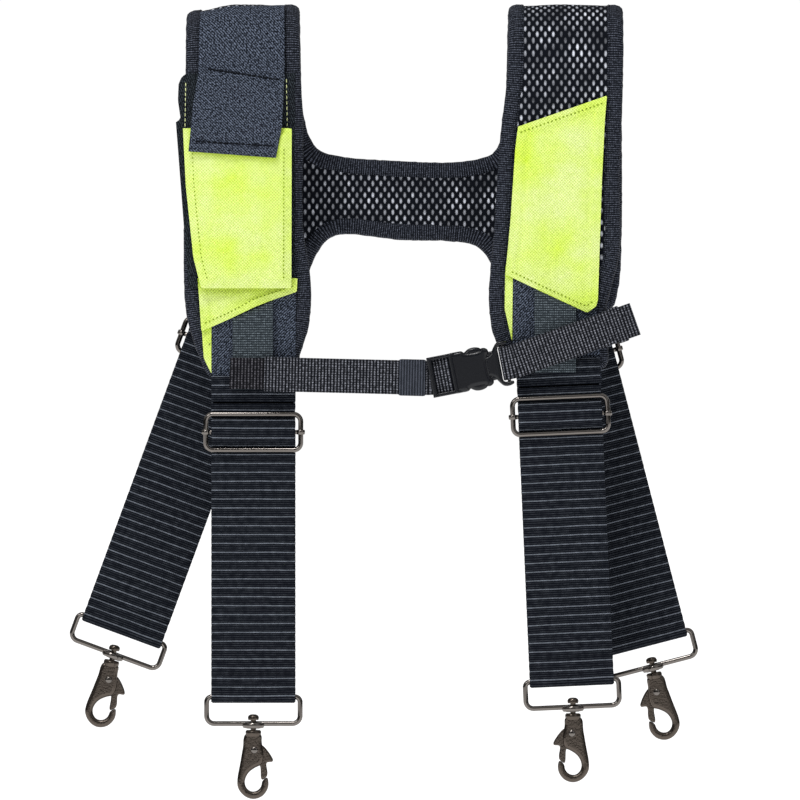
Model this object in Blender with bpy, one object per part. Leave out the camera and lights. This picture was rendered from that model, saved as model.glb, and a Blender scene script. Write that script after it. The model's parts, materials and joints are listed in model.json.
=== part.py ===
"""Padded shoulder harness of a tool belt: an H-shaped yoke folded over the shoulders, a phone
pocket, a chest strap with a side release buckle, and four webbing legs that each end in a
rectangular ring and a swivel trigger hook.

Frame: metres, +Z up, the front of the harness faces -Y. The origin is where the shoulders carry
it, at the inner top of the fold, midway between the two pads. Left is the -X side.
"""

import math

import bmesh
import bpy
from mathutils import Matrix, Vector

MM = 0.001
GAP = 0.0003

# ---- driving dimensions: the folded pads -------------------------------------------------------
FOLD_RADIUS = 0.022
PAD_THICKNESS = 0.0094
COVER_THICKNESS = 0.0009
BINDING_WIDTH = 0.006
BINDING_PROUD = 0.0006
FOLD_STEPS = 6
MID_RADIUS = FOLD_RADIUS + PAD_THICKNESS / 2
QUARTER_FOLD = MID_RADIUS * math.pi / 2
BINDING_HALF = PAD_THICKNESS / 2 + BINDING_PROUD
PANEL_LOW = BINDING_HALF + GAP
PANEL_THICKNESS = 0.0005

# ---- webbing ------------------------------------------------------------------------------------
LEG_WIDTH = 0.0494
LEG_WEBBING = 0.0018
CHEST_WIDTH = 0.0196
CHEST_WEBBING = 0.0015
RAIL_BASE = PANEL_LOW + PANEL_THICKNESS + GAP
RAIL_RAISED = RAIL_BASE + CHEST_WEBBING + GAP

# ---- metalwork of one leg -----------------------------------------------------------------------
WIRE = 0.0015
RING_WIDTH = 0.0547
RING_HEIGHT = 0.01565
RING_TOP_CORNER = 0.003
RING_LOW_CORNER = 0.0045
BOSS_RADIUS = 0.0065
BOSS_HEIGHT = 0.0039
BOSS_DROP = 0.0166
BOSS_HOLE = 0.0023
SLIDER_WIDTH = 0.0555
SLIDER_HEIGHT = 0.0209
SLIDER_CORNER = 0.0042
SLIDER_DROP = 0.0167
SLIDER_OUT = LEG_WEBBING / 2 + GAP + WIRE
EYE_RADIUS = 0.0025
BAR_DEPTH = 0.0028
STEM_RADIUS = 0.0016
HEAD_RADIUS = 0.0033
NECK_RADIUS = 0.0045
HOOK_THICKNESS = 0.0056
GATE_THICKNESS = 0.0024
GATE_SLOT = 0.0030
RIVET = Vector((0.0006, 0, 0.0311))
RIVET_RADIUS = 0.0011
RIVET_HEAD = 0.0021
RING_IN = 0.0012
LOOP_RADIUS = WIRE + GAP + LEG_WEBBING / 2
# How far the webbing has risen towards the slider's bar, by its distance down the leg in mm
TURN_RISES = ((-7.3, 0), (-5.2, 0.35), (-2.6, 0.84), (0, 1), (2.6, 0.84), (5.2, 0.35), (7.3, 0))

# name, place of the fold hinge (x, y, z), lean of the leg, length to the ring, lean of the hook,
# and whether the trigger faces +X
FRONT_OUT = -(MID_RADIUS + PANEL_LOW + PANEL_THICKNESS / 2)
LEGS = (
    ("front_left", (-0.0886, FRONT_OUT, -0.2255), 0.0, 0.1716, 0.0, True),
    ("front_right", (0.0902, FRONT_OUT, -0.2156), -2.5, 0.1719, 0.0, False),
    ("rear_left", (-0.0999, MID_RADIUS, -0.1776), 20.2, 0.1929, 12.0, True),
    ("rear_right", (0.0953, MID_RADIUS, -0.1838), -14.5, 0.1876, -11.0, False),
)

# ---- chest strap and buckle ---------------------------------------------------------------------
BUCKLE_PLACE = (0.01485, 0, -0.2105)
BUCKLE_TILT = 11.0
BUCKLE_HALF = 0.01175
SLOT_HALF = 0.01035
CROSSBAR = 0.012
CROSSBAR_OUT = 0.00985
MALE_BAR = 0.0452
MALE_BAR_OUT = 0.0109
BAR_HALF = 0.0010
BAR_TURN = BAR_HALF * math.sqrt(2) + GAP + CHEST_WEBBING / 2
PRONG_PIVOT = (0.0400, 0.0068)
CHEST_LAYER = 0.01075
LEFT_TILT = -1.4
RIGHT_TILT = 19.4
BEND_STEPS = 3


def mm(points):
    """Points in millimetres as metres."""
    return [tuple(value * MM for value in point) for point in points]


# Finished edge of the yoke as (across, along) in millimetres. Along runs over the fold: it is 0 at
# the top, positive down the front and negative down the back.
YOKE_EDGE = mm(
    [
        (-63.4, 234), (-61.6, 217), (-56.9, 202), (-55.1, 184.5), (-56.3, 164),
        (-59.8, 143), (-59.8, 82), (-61.6, 45), (-61.6, -45), (-60, -75),
        (-56, -89), (-51, -95.8), (-37.5, -99.9), (-8.7, -102.2), (25.4, -103.4),
        (41.9, -101.6), (51.9, -98.1), (56.5, -91), (58.8, -78), (60.5, -45),
        (60.7, 43), (58.9, 67), (56.6, 84.6), (54.2, 117.5), (52.5, 144.6),
        (49.5, 180.4), (50.1, 194), (52.5, 206.3), (58, 217), (66, 225),
        (117, 224), (118.9, 212), (117.8, 190), (121.9, 172.8), (125.4, 158),
        (125.4, 114), (126.6, 84.6), (127.7, 45), (127.7, -45), (127.7, -150),
        (126, -176), (121, -190), (73, -202.5), (65, -199), (60, -190),
        (56, -178), (52.5, -166), (47.2, -156.5), (40.7, -151.6), (25.4, -149.3),
        (-1.6, -148.7), (-34, -145.2), (-42.5, -146.6), (-49, -152), (-55, -163),
        (-59, -176), (-63, -187), (-70, -197), (-78, -198.5), (-122, -182),
        (-127.5, -172), (-128.5, -150), (-128, -45), (-128, 45), (-128.6, 184),
        (-126.3, 199), (-120.4, 217), (-112.7, 230.4),
    ]
)  # fmt: skip

POCKET_BACK = mm(
    [(-133.3, 52), (-64.2, 52), (-64.2, 178.4), (-128.5, 178.4), (-130.5, 130), (-132.5, 82)]
)
LEFT_HI_VIS = mm(
    [
        (-121.2, 179), (-64, 179), (-64, 180), (-76.3, 184.5), (-87.5, 188),
        (-103.3, 196.3), (-113.6, 200.5), (-113.6, 228), (-118.9, 200.8),
    ]
)  # fmt: skip
RIGHT_HI_VIS = mm(
    [
        (66.3, 83.4), (118.3, 65.2), (117.1, 79), (115.4, 114), (113, 184.6),
        (111.9, 188.7), (106.6, 192.2), (84.8, 182.2), (62.9, 171.6), (62.8, 209.3),
        (58.4, 190), (58.9, 169.9), (61.9, 137.5), (64.6, 96.4),
    ]
)  # fmt: skip
LEFT_TWILL = mm(
    [
        (-113.3, 200.8), (-103.1, 196.7), (-87.3, 188.4), (-76.1, 184.9), (-63.9, 180.5),
        (-63.9, 244.2), (-113.3, 244.2),
    ]
)  # fmt: skip
RIGHT_TWILL = mm(
    [(63.3, 172.3), (84.6, 182.6), (106.5, 192.6), (112, 189.3), (115.2, 233), (65.9, 235.2), (63.3, 214)]
)
FLAP_BASE = mm([(-119.9, 14), (-70.6, 12), (-70.3, 51.7), (-120.7, 51.7)])
FLAP = mm([(-120.8, 52.3), (-70.3, 52.3), (-71.8, 84), (-74.6, 99), (-126.2, 96.3), (-123.6, 70)])
LEFT_RAIL = (-0.1007, -0.0771, 0.1940, 0.2437)
RIGHT_RAIL = (0.0758, 0.1001, 0.1860, 0.2336)
RAIL_RAMP = 0.0038

# Pocket body: half widths at the mouth and the foot, centre, ends along the pad, and its depth
POCKET_TOP = (-0.0979, 0.0318, 0.0845)
POCKET_FOOT = (-0.0927, 0.0264, 0.1780)
POCKET_LOW = 0.0067
POCKET_HIGH = 0.0155
POCKET_WALL = 0.0010
FLAP_THICKNESS = 0.0014
FLAP_HINGE = (0.0529, 0.0075)

# Hook body and gate seen from the front, as (across, down from the ring's upper bar)
HOOK_EDGE = mm(
    [
        (-4.7, 22), (4.3, 22), (5.0, 27), (5.8, 32), (5.9, 36), (4.6, 39.6), (1.0, 41.5),
        (-2.4, 44.0), (-4.4, 47.2), (-4.95, 50.3), (-4.0, 53.2), (-1.5, 55.2), (1.2, 55.2),
        (3.4, 53.9), (4.6, 52), (5.3, 49.2), (8.0, 47.2), (8.9, 50.5), (8.3, 54), (5.8, 57.6),
        (2.6, 59.4), (-0.6, 59.8), (-4, 58.8), (-7.2, 56.2), (-9.2, 52.6), (-9.4, 48.5),
        (-7.6, 38), (-6.2, 30),
    ]
)  # fmt: skip
GATE_EDGE = mm(
    [
        (-1.7, 30.0), (-0.8, 28.6), (1.6, 28.0), (5.2, 28.3), (11.5, 36.7), (11.2, 37.9),
        (7.9, 38.6), (8.3, 44.6), (7.9, 46.5), (5.1, 48.5), (4.5, 47.6), (4.1, 41.5),
        (3.2, 38.5), (-0.6, 34.0), (-1.9, 32.2),
    ]
)  # fmt: skip
GATE_ROOM = mm([(-3.3, 26.8), (9, 26.8), (9, 46.6), (-1.2, 46.6), (-3.3, 41)])
PRONG_EDGE = mm(
    [
        (40.3, 5.6), (40.3, 8.0), (36.5, 7.6), (31.3, 8.4), (30.6, 11.3), (27, 11.5),
        (22.5, 9.3), (19.2, 8.2), (18.6, 7.0), (19.4, 5.9), (30, 5.6),
    ]
)  # fmt: skip
MALE_HALF_EDGE = mm(
    [(36.3, 4.6), (40.8, 4.9), (40.8, 10.9), (42.3, 11.75), (47.4, 11.75)]
)


# ---- materials ----------------------------------------------------------------------------------
def material(name, colour, roughness, metallic=0.0):
    made = bpy.data.materials.new(name)
    made.use_nodes = True
    shader = made.node_tree.nodes["Principled BSDF"]
    shader.inputs["Base Color"].default_value = (*colour, 1)
    shader.inputs["Roughness"].default_value = roughness
    shader.inputs["Metallic"].default_value = metallic
    return made


def make_materials():
    return {
        "foam": material("foam", (0.25, 0.25, 0.26), 0.9),
        "air_mesh": material("air_mesh", (0.012, 0.013, 0.015), 0.8),
        "binding": material("binding", (0.012, 0.013, 0.018), 0.6),
        "hi_vis": material("hi_vis", (0.60, 0.95, 0.06), 0.75),
        "twill": material("twill", (0.02, 0.023, 0.028), 0.8),
        "leg_webbing": material("leg_webbing", (0.012, 0.014, 0.020), 0.6),
        "rail_webbing": material("rail_webbing", (0.05, 0.055, 0.065), 0.6),
        "chest_webbing": material("chest_webbing", (0.02, 0.021, 0.025), 0.6),
        "elastic": material("elastic", (0.03, 0.033, 0.04), 0.7),
        "metal": material("metal", (0.16, 0.14, 0.13), 0.22, 1.0),
        "buckle": material("buckle", (0.015, 0.017, 0.021), 0.35),
    }


# ---- mesh building ------------------------------------------------------------------------------
def slab(faces, low, high):
    """A closed solid from flat faces: low and high place each flat point on its two sides."""
    bm = bmesh.new()
    sides = []
    for place in (low, high):
        sides.append({point: bm.verts.new(place(*point)) for face in faces for point in face})
    count = {}
    for face in faces:
        for start, end in zip(face, face[1:] + face[:1]):
            key = frozenset((start, end))
            count[key] = count.get(key, 0) + 1
    for face in faces:
        bm.faces.new([sides[0][point] for point in reversed(face)])
        bm.faces.new([sides[1][point] for point in face])
        for start, end in zip(face, face[1:] + face[:1]):
            if count[frozenset((start, end))] == 1:
                ring = (sides[0][start], sides[0][end], sides[1][end], sides[1][start])
                bm.faces.new(ring)
    return finished(bm)


def finished(bm):
    """The mesh of a bmesh, with its faces turned outward."""
    bmesh.ops.recalc_face_normals(bm, faces=bm.faces)
    if bm.calc_volume(signed=True) < 0:
        bmesh.ops.reverse_faces(bm, faces=bm.faces)
    mesh = bpy.data.meshes.new("shape")
    bm.to_mesh(mesh)
    bm.free()
    return mesh


def split_faces(outline, levels):
    """The flat outline cut into faces along lines of constant second coordinate."""
    bm = bmesh.new()
    bm.faces.new([bm.verts.new((a, b, 0)) for a, b in outline])
    for level in levels:
        everything = bm.verts[:] + bm.edges[:] + bm.faces[:]
        bmesh.ops.bisect_plane(
            bm, geom=everything, dist=1e-6, plane_co=(0, level, 0), plane_no=(0, 1, 0)
        )
    faces = [[(v.co.x, v.co.y) for v in face.verts] for face in bm.faces]
    bm.free()
    return faces


def wrap(across, along, out):
    """The point at this place on the yoke, out from the middle of its thickness."""
    side = -1 if along >= 0 else 1
    angle = min(abs(along), QUARTER_FOLD) / MID_RADIUS
    radius = MID_RADIUS + out
    rise = radius * math.cos(angle) - FOLD_RADIUS
    return (
        across,
        side * radius * math.sin(angle),
        rise - max(abs(along) - QUARTER_FOLD, 0),
    )


def fold_levels():
    steps = range(-FOLD_STEPS, FOLD_STEPS + 1)
    return [QUARTER_FOLD * step / FOLD_STEPS for step in steps]


def wrapped(outline, low, high, extra=()):
    """A sheet of the yoke between two heights, which are numbers or functions of along."""
    heights = [height if callable(height) else (lambda along, h=height: h) for height in (low, high)]
    faces = split_faces(outline, (*fold_levels(), *extra))
    return slab(
        faces,
        lambda a, b: wrap(a, b, heights[0](b)),
        lambda a, b: wrap(a, b, heights[1](b)),
    )


def inset(outline, distance):
    """A closed outline moved inward; the outline runs clockwise or anticlockwise."""
    area = sum(a[0] * b[1] - b[0] * a[1] for a, b in zip(outline, outline[1:] + outline[:1]))
    turn = math.copysign(1, area)
    moved = []
    for before, here, after in zip(outline[-1:] + outline[:-1], outline, outline[1:] + outline[:1]):
        one = (Vector(here) - Vector(before)).normalized()
        two = (Vector(after) - Vector(here)).normalized()
        normals = [Vector((-way.y, way.x)) * turn for way in (one, two)]
        middle = (normals[0] + normals[1]).normalized()
        reach = distance / max(middle.dot(normals[0]), 0.5)
        moved.append(tuple(Vector(here) + middle * reach))
    return moved


def prism(outline, low, high):
    """An (x, down) outline as a plate in the XZ plane, between two y values."""
    return slab([outline], lambda a, b: (a, low, -b), lambda a, b: (a, high, -b))


def box(x, y, z):
    corners = [(x[0], z[0]), (x[1], z[0]), (x[1], z[1]), (x[0], z[1])]
    return slab([corners], lambda a, b: (a, y[0], b), lambda a, b: (a, y[1], b))


def turned(profile, steps):
    """A solid turned about Z from (radius, height) points that start and end on the axis."""
    bm = bmesh.new()
    rings = []
    for radius, height in profile:
        count = steps if radius > 0 else 1
        angles = [2 * math.pi * k / steps for k in range(count)]
        rings.append(
            [bm.verts.new((radius * math.cos(t), radius * math.sin(t), height)) for t in angles]
        )
    for above, below in zip(rings, rings[1:]):
        for k in range(steps):
            corners = [above[k % len(above)], above[(k + 1) % len(above)]]
            corners += [below[(k + 1) % len(below)], below[k % len(below)]]
            bm.faces.new(list(dict.fromkeys(corners)))
    return finished(bm)


def rounded_path(width, height, top_radius, low_radius, steps=3):
    """Corner arcs of a frame hanging from z = 0, as points clockwise from the upper right."""
    points = []
    corners = (
        (1, -1, top_radius, 90),
        (1, 1, low_radius, 0),
        (-1, 1, low_radius, -90),
        (-1, -1, top_radius, -180),
    )
    for side, down, radius, start in corners:
        centre_z = -radius if down < 0 else -height + radius
        for step in range(steps + 1):
            angle = math.radians(start - 90 * step / steps)
            x = side * (width / 2 - radius) + radius * math.cos(angle)
            points.append(Vector((x, 0, centre_z + radius * math.sin(angle))))
    return points


def wire_frame(path, radius, sides=6):
    """A closed round wire through points in the XZ plane."""
    bm = bmesh.new()
    rings = []
    for before, here, after in zip(path[-1:] + path[:-1], path, path[1:] + path[:1]):
        way = ((here - before).normalized() + (after - here).normalized()).normalized()
        across = Vector((way.z, 0, -way.x))
        stretch = 1 / max(way.dot((after - here).normalized()), 0.5)
        ring = []
        for k in range(sides):
            angle = 2 * math.pi * (k + 0.5) / sides
            offset = across * math.cos(angle) * stretch + Vector((0, math.sin(angle), 0))
            ring.append(bm.verts.new(here + offset * radius))
        rings.append(ring)
    for one, two in zip(rings, rings[1:] + rings[:1]):
        for k in range(sides):
            bm.faces.new((one[k], one[(k + 1) % sides], two[(k + 1) % sides], two[k]))
    return finished(bm)


def moved(mesh, matrix):
    mesh.transform(matrix)
    return mesh


def combined(mesh, *steps):
    """The mesh after each Boolean step, given as (operation, tool mesh)."""
    base = bpy.data.objects.new("base", mesh)
    bpy.context.scene.collection.objects.link(base)
    tools = []
    for operation, tool_mesh in steps:
        tool = bpy.data.objects.new("tool", tool_mesh)
        bpy.context.scene.collection.objects.link(tool)
        modifier = base.modifiers.new(operation, "BOOLEAN")
        modifier.operation = operation
        modifier.solver = "EXACT"
        modifier.object = tool
        tools.append(tool)
    graph = bpy.context.evaluated_depsgraph_get()
    result = bpy.data.meshes.new_from_object(base.evaluated_get(graph))
    for obj in (*tools, base):
        bpy.data.objects.remove(obj)
    return result


def ribbon(path, thickness):
    """Quad cells along a polyline of (along, out) points, as thick as the webbing."""
    points = [Vector(point) for point in path]
    ways = [(b - a).normalized() for a, b in zip(points, points[1:])]
    pairs = []
    for index, point in enumerate(points):
        near = ways[max(index - 1, 0)]
        far = ways[min(index, len(ways) - 1)]
        way = (near + far).normalized()
        reach = thickness / 2 / max(way.dot(far), 0.5)
        side = Vector((-way.y, way.x)) * reach
        pairs.append((tuple(point - side), tuple(point + side)))
    return [[a[0], b[0], b[1], a[1]] for a, b in zip(pairs, pairs[1:])]


def arc(centre, radius, start, end, steps):
    """Points of a circle's arc between two angles in degrees."""
    angles = [math.radians(start + (end - start) * k / steps) for k in range(steps + 1)]
    return [(centre[0] + radius * math.cos(t), centre[1] + radius * math.sin(t)) for t in angles]


# ---- objects --------------------------------------------------------------------------------------
def node(name, mesh, finish, world=None, parent=None):
    """An object at a place, which may hang from an empty on its joint's axis."""
    obj = bpy.data.objects.new(name, mesh)
    mesh.materials.clear()
    mesh.materials.append(finish)
    bpy.context.scene.collection.objects.link(obj)
    place(obj, world or Matrix.Identity(4), parent)
    return obj


def place(obj, world, parent):
    if parent:
        obj.parent = parent
        obj.matrix_basis = Matrix(parent["world"]).inverted() @ world
    else:
        obj.matrix_basis = world


def pivot(name, world, parent=None):
    """An empty on a joint's axis. It remembers its place, so that children can be placed by it."""
    empty = bpy.data.objects.new(name, None)
    empty.empty_display_size = 0.01
    bpy.context.scene.collection.objects.link(empty)
    place(empty, world, parent)
    empty["world"] = [list(row) for row in world]
    return empty


def shade_round(obj):
    obj.data.shade_smooth()
    obj.data.set_sharp_from_angle(angle=math.radians(40))


# ---- yoke -----------------------------------------------------------------------------------------
def make_binding():
    """The tape sewn round the whole edge, as one closed band."""
    outer = split_edges(YOKE_EDGE, fold_levels())
    inner = inset(outer, BINDING_WIDTH)
    faces = []
    for k, point in enumerate(outer):
        following = (k + 1) % len(outer)
        faces.append([point, outer[following], inner[following], inner[k]])
    return slab(
        faces,
        lambda a, b: wrap(a, b, -BINDING_HALF),
        lambda a, b: wrap(a, b, BINDING_HALF),
    )


def split_edges(outline, levels):
    """The outline with a point wherever an edge crosses one of the levels."""
    points = []
    for start, end in zip(outline, outline[1:] + outline[:1]):
        points.append(start)
        crossed = [v for v in levels if min(start[1], end[1]) + 1e-6 < v < max(start[1], end[1]) - 1e-6]
        for level in sorted(crossed, reverse=end[1] < start[1]):
            share = (level - start[1]) / (end[1] - start[1])
            points.append((start[0] + share * (end[0] - start[0]), level))
    return points


def make_yoke(finish):
    core = inset(YOKE_EDGE, BINDING_WIDTH + GAP)
    half = PAD_THICKNESS / 2
    foam_half = half - COVER_THICKNESS - GAP
    node("yoke_foam", wrapped(core, -foam_half, foam_half), finish["foam"])
    node("yoke_outer_cover", wrapped(core, half - COVER_THICKNESS, half), finish["air_mesh"])
    node("yoke_inner_cover", wrapped(core, -half, COVER_THICKNESS - half), finish["air_mesh"])
    node("edge_binding", make_binding(), finish["binding"])


def make_panels(finish):
    top = PANEL_LOW + PANEL_THICKNESS
    node("left_hi_vis_panel", wrapped(LEFT_HI_VIS, PANEL_LOW, top), finish["hi_vis"])
    node("right_hi_vis_panel", wrapped(RIGHT_HI_VIS, PANEL_LOW, top), finish["hi_vis"])
    node("left_twill_tab", wrapped(LEFT_TWILL, PANEL_LOW, top), finish["twill"])
    node("right_twill_tab", wrapped(RIGHT_TWILL, PANEL_LOW, top), finish["twill"])


def make_rail(name, span, finish):
    """A strip of webbing that stands off the tab between its sewn ends."""
    left, right, start, end = span
    corners = [(left, start), (right, start), (right, end), (left, end)]

    def low(along):
        into = min(along - start, end - along)
        return RAIL_BASE + (RAIL_RAISED - RAIL_BASE) * min(max(into / RAIL_RAMP, 0), 1)

    def high(along):
        return low(along) + CHEST_WEBBING

    sheet = wrapped(corners, low, high, (start + RAIL_RAMP, end - RAIL_RAMP))
    node(name, sheet, finish["rail_webbing"])


def pocket_outline(margin, top, foot):
    centre_top, half_top, start = POCKET_TOP
    centre_foot, half_foot, end = POCKET_FOOT
    return [
        (centre_top - half_top + margin, start - top),
        (centre_top + half_top - margin, start - top),
        (centre_foot + half_foot - margin, end - foot),
        (centre_foot - half_foot + margin, end - foot),
    ]


def make_pocket(finish):
    """Pocket back, the open-topped pocket body, and the flap with its sewn base."""
    back = wrapped(POCKET_BACK, PANEL_LOW, PANEL_LOW + 0.0007)
    node("pocket_back", back, finish["twill"])
    body = wrapped(pocket_outline(0, 0, 0), POCKET_LOW, POCKET_HIGH)
    room = wrapped(
        pocket_outline(POCKET_WALL, 0.002, POCKET_WALL),
        POCKET_LOW - 0.002,
        POCKET_HIGH - POCKET_WALL,
    )
    node("pocket_body", combined(body, ("DIFFERENCE", room)), finish["hi_vis"])
    base = wrapped(FLAP_BASE, PANEL_LOW + 0.0002, PANEL_LOW + 0.0002 + FLAP_THICKNESS)
    node("pocket_flap_base", base, finish["twill"])
    make_flap(finish)


def make_flap(finish):
    along, out = FLAP_HINGE
    mouth = POCKET_TOP[2] - 0.002
    slope = (POCKET_HIGH + GAP * 2 + FLAP_THICKNESS / 2 - out) / (mouth - along)

    def middle(at):
        return out + slope * (min(at, mouth) - along)

    sheet = wrapped(
        FLAP,
        lambda at: middle(at) - FLAP_THICKNESS / 2,
        lambda at: middle(at) + FLAP_THICKNESS / 2,
        (mouth,),
    )
    hinge = Matrix.Translation(wrap((FLAP[0][0] + FLAP[1][0]) / 2, along, out))
    joint = pivot("pocket_flap_hinge", hinge)
    node("pocket_flap", moved(sheet, hinge.inverted()), finish["twill"], hinge, joint)


# ---- chest strap ----------------------------------------------------------------------------------
def bent_line(start, tilt_before, tilt_after, bend_at, bend_length):
    """A map from (along, across) to world (x, z) for a band whose tilt changes over a bend."""

    def direction(along):
        share = min(max((along - bend_at) / bend_length, 0), 1)
        return math.radians(tilt_before + (tilt_after - tilt_before) * share)

    def centre(along):
        if along <= bend_at:
            x = start[0] + along * math.cos(math.radians(tilt_before))
            return x, start[1] + along * math.sin(math.radians(tilt_before))
        x, z = centre(bend_at)
        steps = 8
        stretch = min(along - bend_at, bend_length)
        for k in range(steps):
            angle = direction(bend_at + stretch * (k + 0.5) / steps)
            x += stretch / steps * math.cos(angle)
            z += stretch / steps * math.sin(angle)
        rest = max(along - bend_at - bend_length, 0)
        angle = direction(along)
        return x + rest * math.cos(angle), z + rest * math.sin(angle)

    def mapped(along, across, out):
        x, z = centre(along)
        angle = direction(along)
        return (x - across * math.sin(angle), -(MID_RADIUS + out), z + across * math.cos(angle))

    return mapped


def with_stops(path, stops):
    """The path with a point wherever a segment passes one of the stops."""
    points = [path[0]]
    for start, end in zip(path, path[1:]):
        low, high = sorted((start[0], end[0]))
        passed = [stop for stop in stops if low + 0.0005 < stop < high - 0.0005]
        for stop in sorted(passed, reverse=end[0] < start[0]):
            share = (stop - start[0]) / (end[0] - start[0])
            points.append((stop, start[1] + share * (end[1] - start[1])))
        points.append(end)
    return points


def band(path, mapped, half_width, bend_start, bend_length):
    """A chest band: its (along, out) path, swept across its width."""
    stops = [bend_start + bend_length * k / BEND_STEPS for k in range(BEND_STEPS + 1)]
    cells = ribbon(with_stops(path, stops), CHEST_WEBBING)
    return slab(
        cells,
        lambda a, b: mapped(a, -half_width, b),
        lambda a, b: mapped(a, half_width, b),
    )


def sleeve(mapped, ends, layers, wall):
    """An elastic keeper round a band: a flat tube with open ends."""
    half = CHEST_WIDTH / 2 + GAP
    low, high = layers[0] - GAP, layers[1] + GAP
    inner = [(-half, low), (half, low), (half, high), (-half, high)]
    outer = [
        (-half - wall, low - wall),
        (half + wall, low - wall),
        (half + wall, high + wall),
        (-half - wall, high + wall),
    ]
    faces = []
    for k in range(4):
        following = (k + 1) % 4
        faces.append([inner[k], inner[following], outer[following], outer[k]])
    return slab(faces, lambda a, b: mapped(ends[0], a, b), lambda a, b: mapped(ends[1], a, b))


def buckle_world():
    """The buckle's own frame: along the strap, out of the plane as -Y, and up across it."""
    turn = Matrix.Rotation(-math.radians(BUCKLE_TILT), 4, "Y")
    return Matrix.Translation((BUCKLE_PLACE[0], -MID_RADIUS, BUCKLE_PLACE[2])) @ turn


def part_box(along, across, out):
    return box(along, (-out[1], -out[0]), across)


def make_female(finish):
    half, slot = BUCKLE_HALF, SLOT_HALF
    mesh = combined(
        part_box((0.0158, 0.036), (-half, half), (0.0065, 0.0142)),
        ("DIFFERENCE", part_box((0.0173, 0.038), (-0.0099, 0.0099), (0.0080, 0.0127))),
        ("DIFFERENCE", part_box((0.0215, 0.0312), (-0.014, 0.014), (0.0080, 0.0127))),
        ("UNION", part_box((0, 0.0162), (slot, half), (0.00865, 0.0142))),
        ("UNION", part_box((0, 0.0162), (-half, -slot), (0.00865, 0.0142))),
        ("UNION", part_box((0, 0.0026), (-slot - 0.0004, slot + 0.0004), (0.0118, 0.0142))),
        (
            "UNION",
            part_box(
                (CROSSBAR - BAR_HALF, CROSSBAR + BAR_HALF),
                (-slot - 0.0004, slot + 0.0004),
                (CROSSBAR_OUT - BAR_HALF, CROSSBAR_OUT + BAR_HALF),
            ),
        ),
        ("UNION", part_box((0.0128, 0.0162), (-slot - 0.0004, slot + 0.0004), (0.0133, 0.0142))),
    )
    node("buckle_female", mesh, finish["buckle"], buckle_world())


def buckle_plate(outline, low, high):
    """An (along, across) outline of the buckle, between two heights out of the chest."""
    return slab([outline], lambda a, b: (a, -low, b), lambda a, b: (a, -high, b))


def make_male(finish):
    whole = MALE_HALF_EDGE + [(a, -b) for a, b in reversed(MALE_HALF_EDGE)]
    reach = SLOT_HALF + 0.0004
    mesh = combined(
        buckle_plate(whole, 0.0072, 0.0142),
        ("DIFFERENCE", part_box((0.0418, 0.05), (-SLOT_HALF, SLOT_HALF), (0.006, 0.016))),
        (
            "UNION",
            part_box(
                (MALE_BAR - BAR_HALF, MALE_BAR + BAR_HALF),
                (-reach, reach),
                (MALE_BAR_OUT - BAR_HALF, MALE_BAR_OUT + BAR_HALF),
            ),
        ),
        ("UNION", part_box((0.0200, 0.0370), (-0.0018, 0.0018), (0.0094, 0.0114))),
    )
    node("buckle_male", mesh, finish["buckle"], buckle_world())


def make_prongs(finish):
    """The two sprung arms of the male half, each turning about its root."""
    for name, side in (("upper", 1), ("lower", -1)):
        outline = [(a - PRONG_PIVOT[0], (b - PRONG_PIVOT[1]) * side) for a, b in PRONG_EDGE]
        at = buckle_world() @ Matrix.Translation((PRONG_PIVOT[0], 0, PRONG_PIVOT[1] * side))
        joint = pivot(f"{name}_prong_pivot", at)
        plate = buckle_plate(outline, 0.0086, 0.0121)
        node(f"{name}_prong", plate, finish["buckle"], at, joint)


def make_left_chest_strap(finish):
    """Two layers from the left rail to the female half, with the elastic keeper near it."""
    left, right = LEFT_RAIL[:2]
    start_x = left - 0.0024
    span = BUCKLE_PLACE[0] - start_x
    bend = (LEFT_TILT, BUCKLE_TILT, span - 0.0014, 0.0032)
    ahead_x, _, ahead_z = bent_line((0, 0), *bend)(span, 0, 0)
    line = bent_line((start_x, BUCKLE_PLACE[2] - ahead_z), *bend)
    reach = span + (span - ahead_x) + CROSSBAR
    back = RAIL_BASE + CHEST_WEBBING / 2
    middle = (CHEST_LAYER + back) / 2
    turn = (CHEST_LAYER - back) / 2
    rail_end = right - start_x
    path = [(0.052, 0.0089), (rail_end + 0.006, 0.0089), (rail_end + 0.001, back)]
    path += arc((turn, middle), turn, 270, 90, 6)
    path += [(reach - 0.0075, CHEST_LAYER)]
    path += arc((reach, CROSSBAR_OUT), BAR_TURN, 90, -90, 6)
    path += [(reach - 0.0075, 0.0089), (0.056, 0.0089)]
    strap = band(path, line, CHEST_WIDTH / 2, *bend[2:])
    node("chest_strap_left", strap, finish["chest_webbing"])
    layers = (0.0089 - CHEST_WEBBING / 2, CHEST_LAYER + CHEST_WEBBING / 2)
    keeper = sleeve(line, (span - 0.0182, span - 0.0027), layers, 0.0006)
    node("chest_keeper_left", keeper, finish["elastic"])


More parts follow.
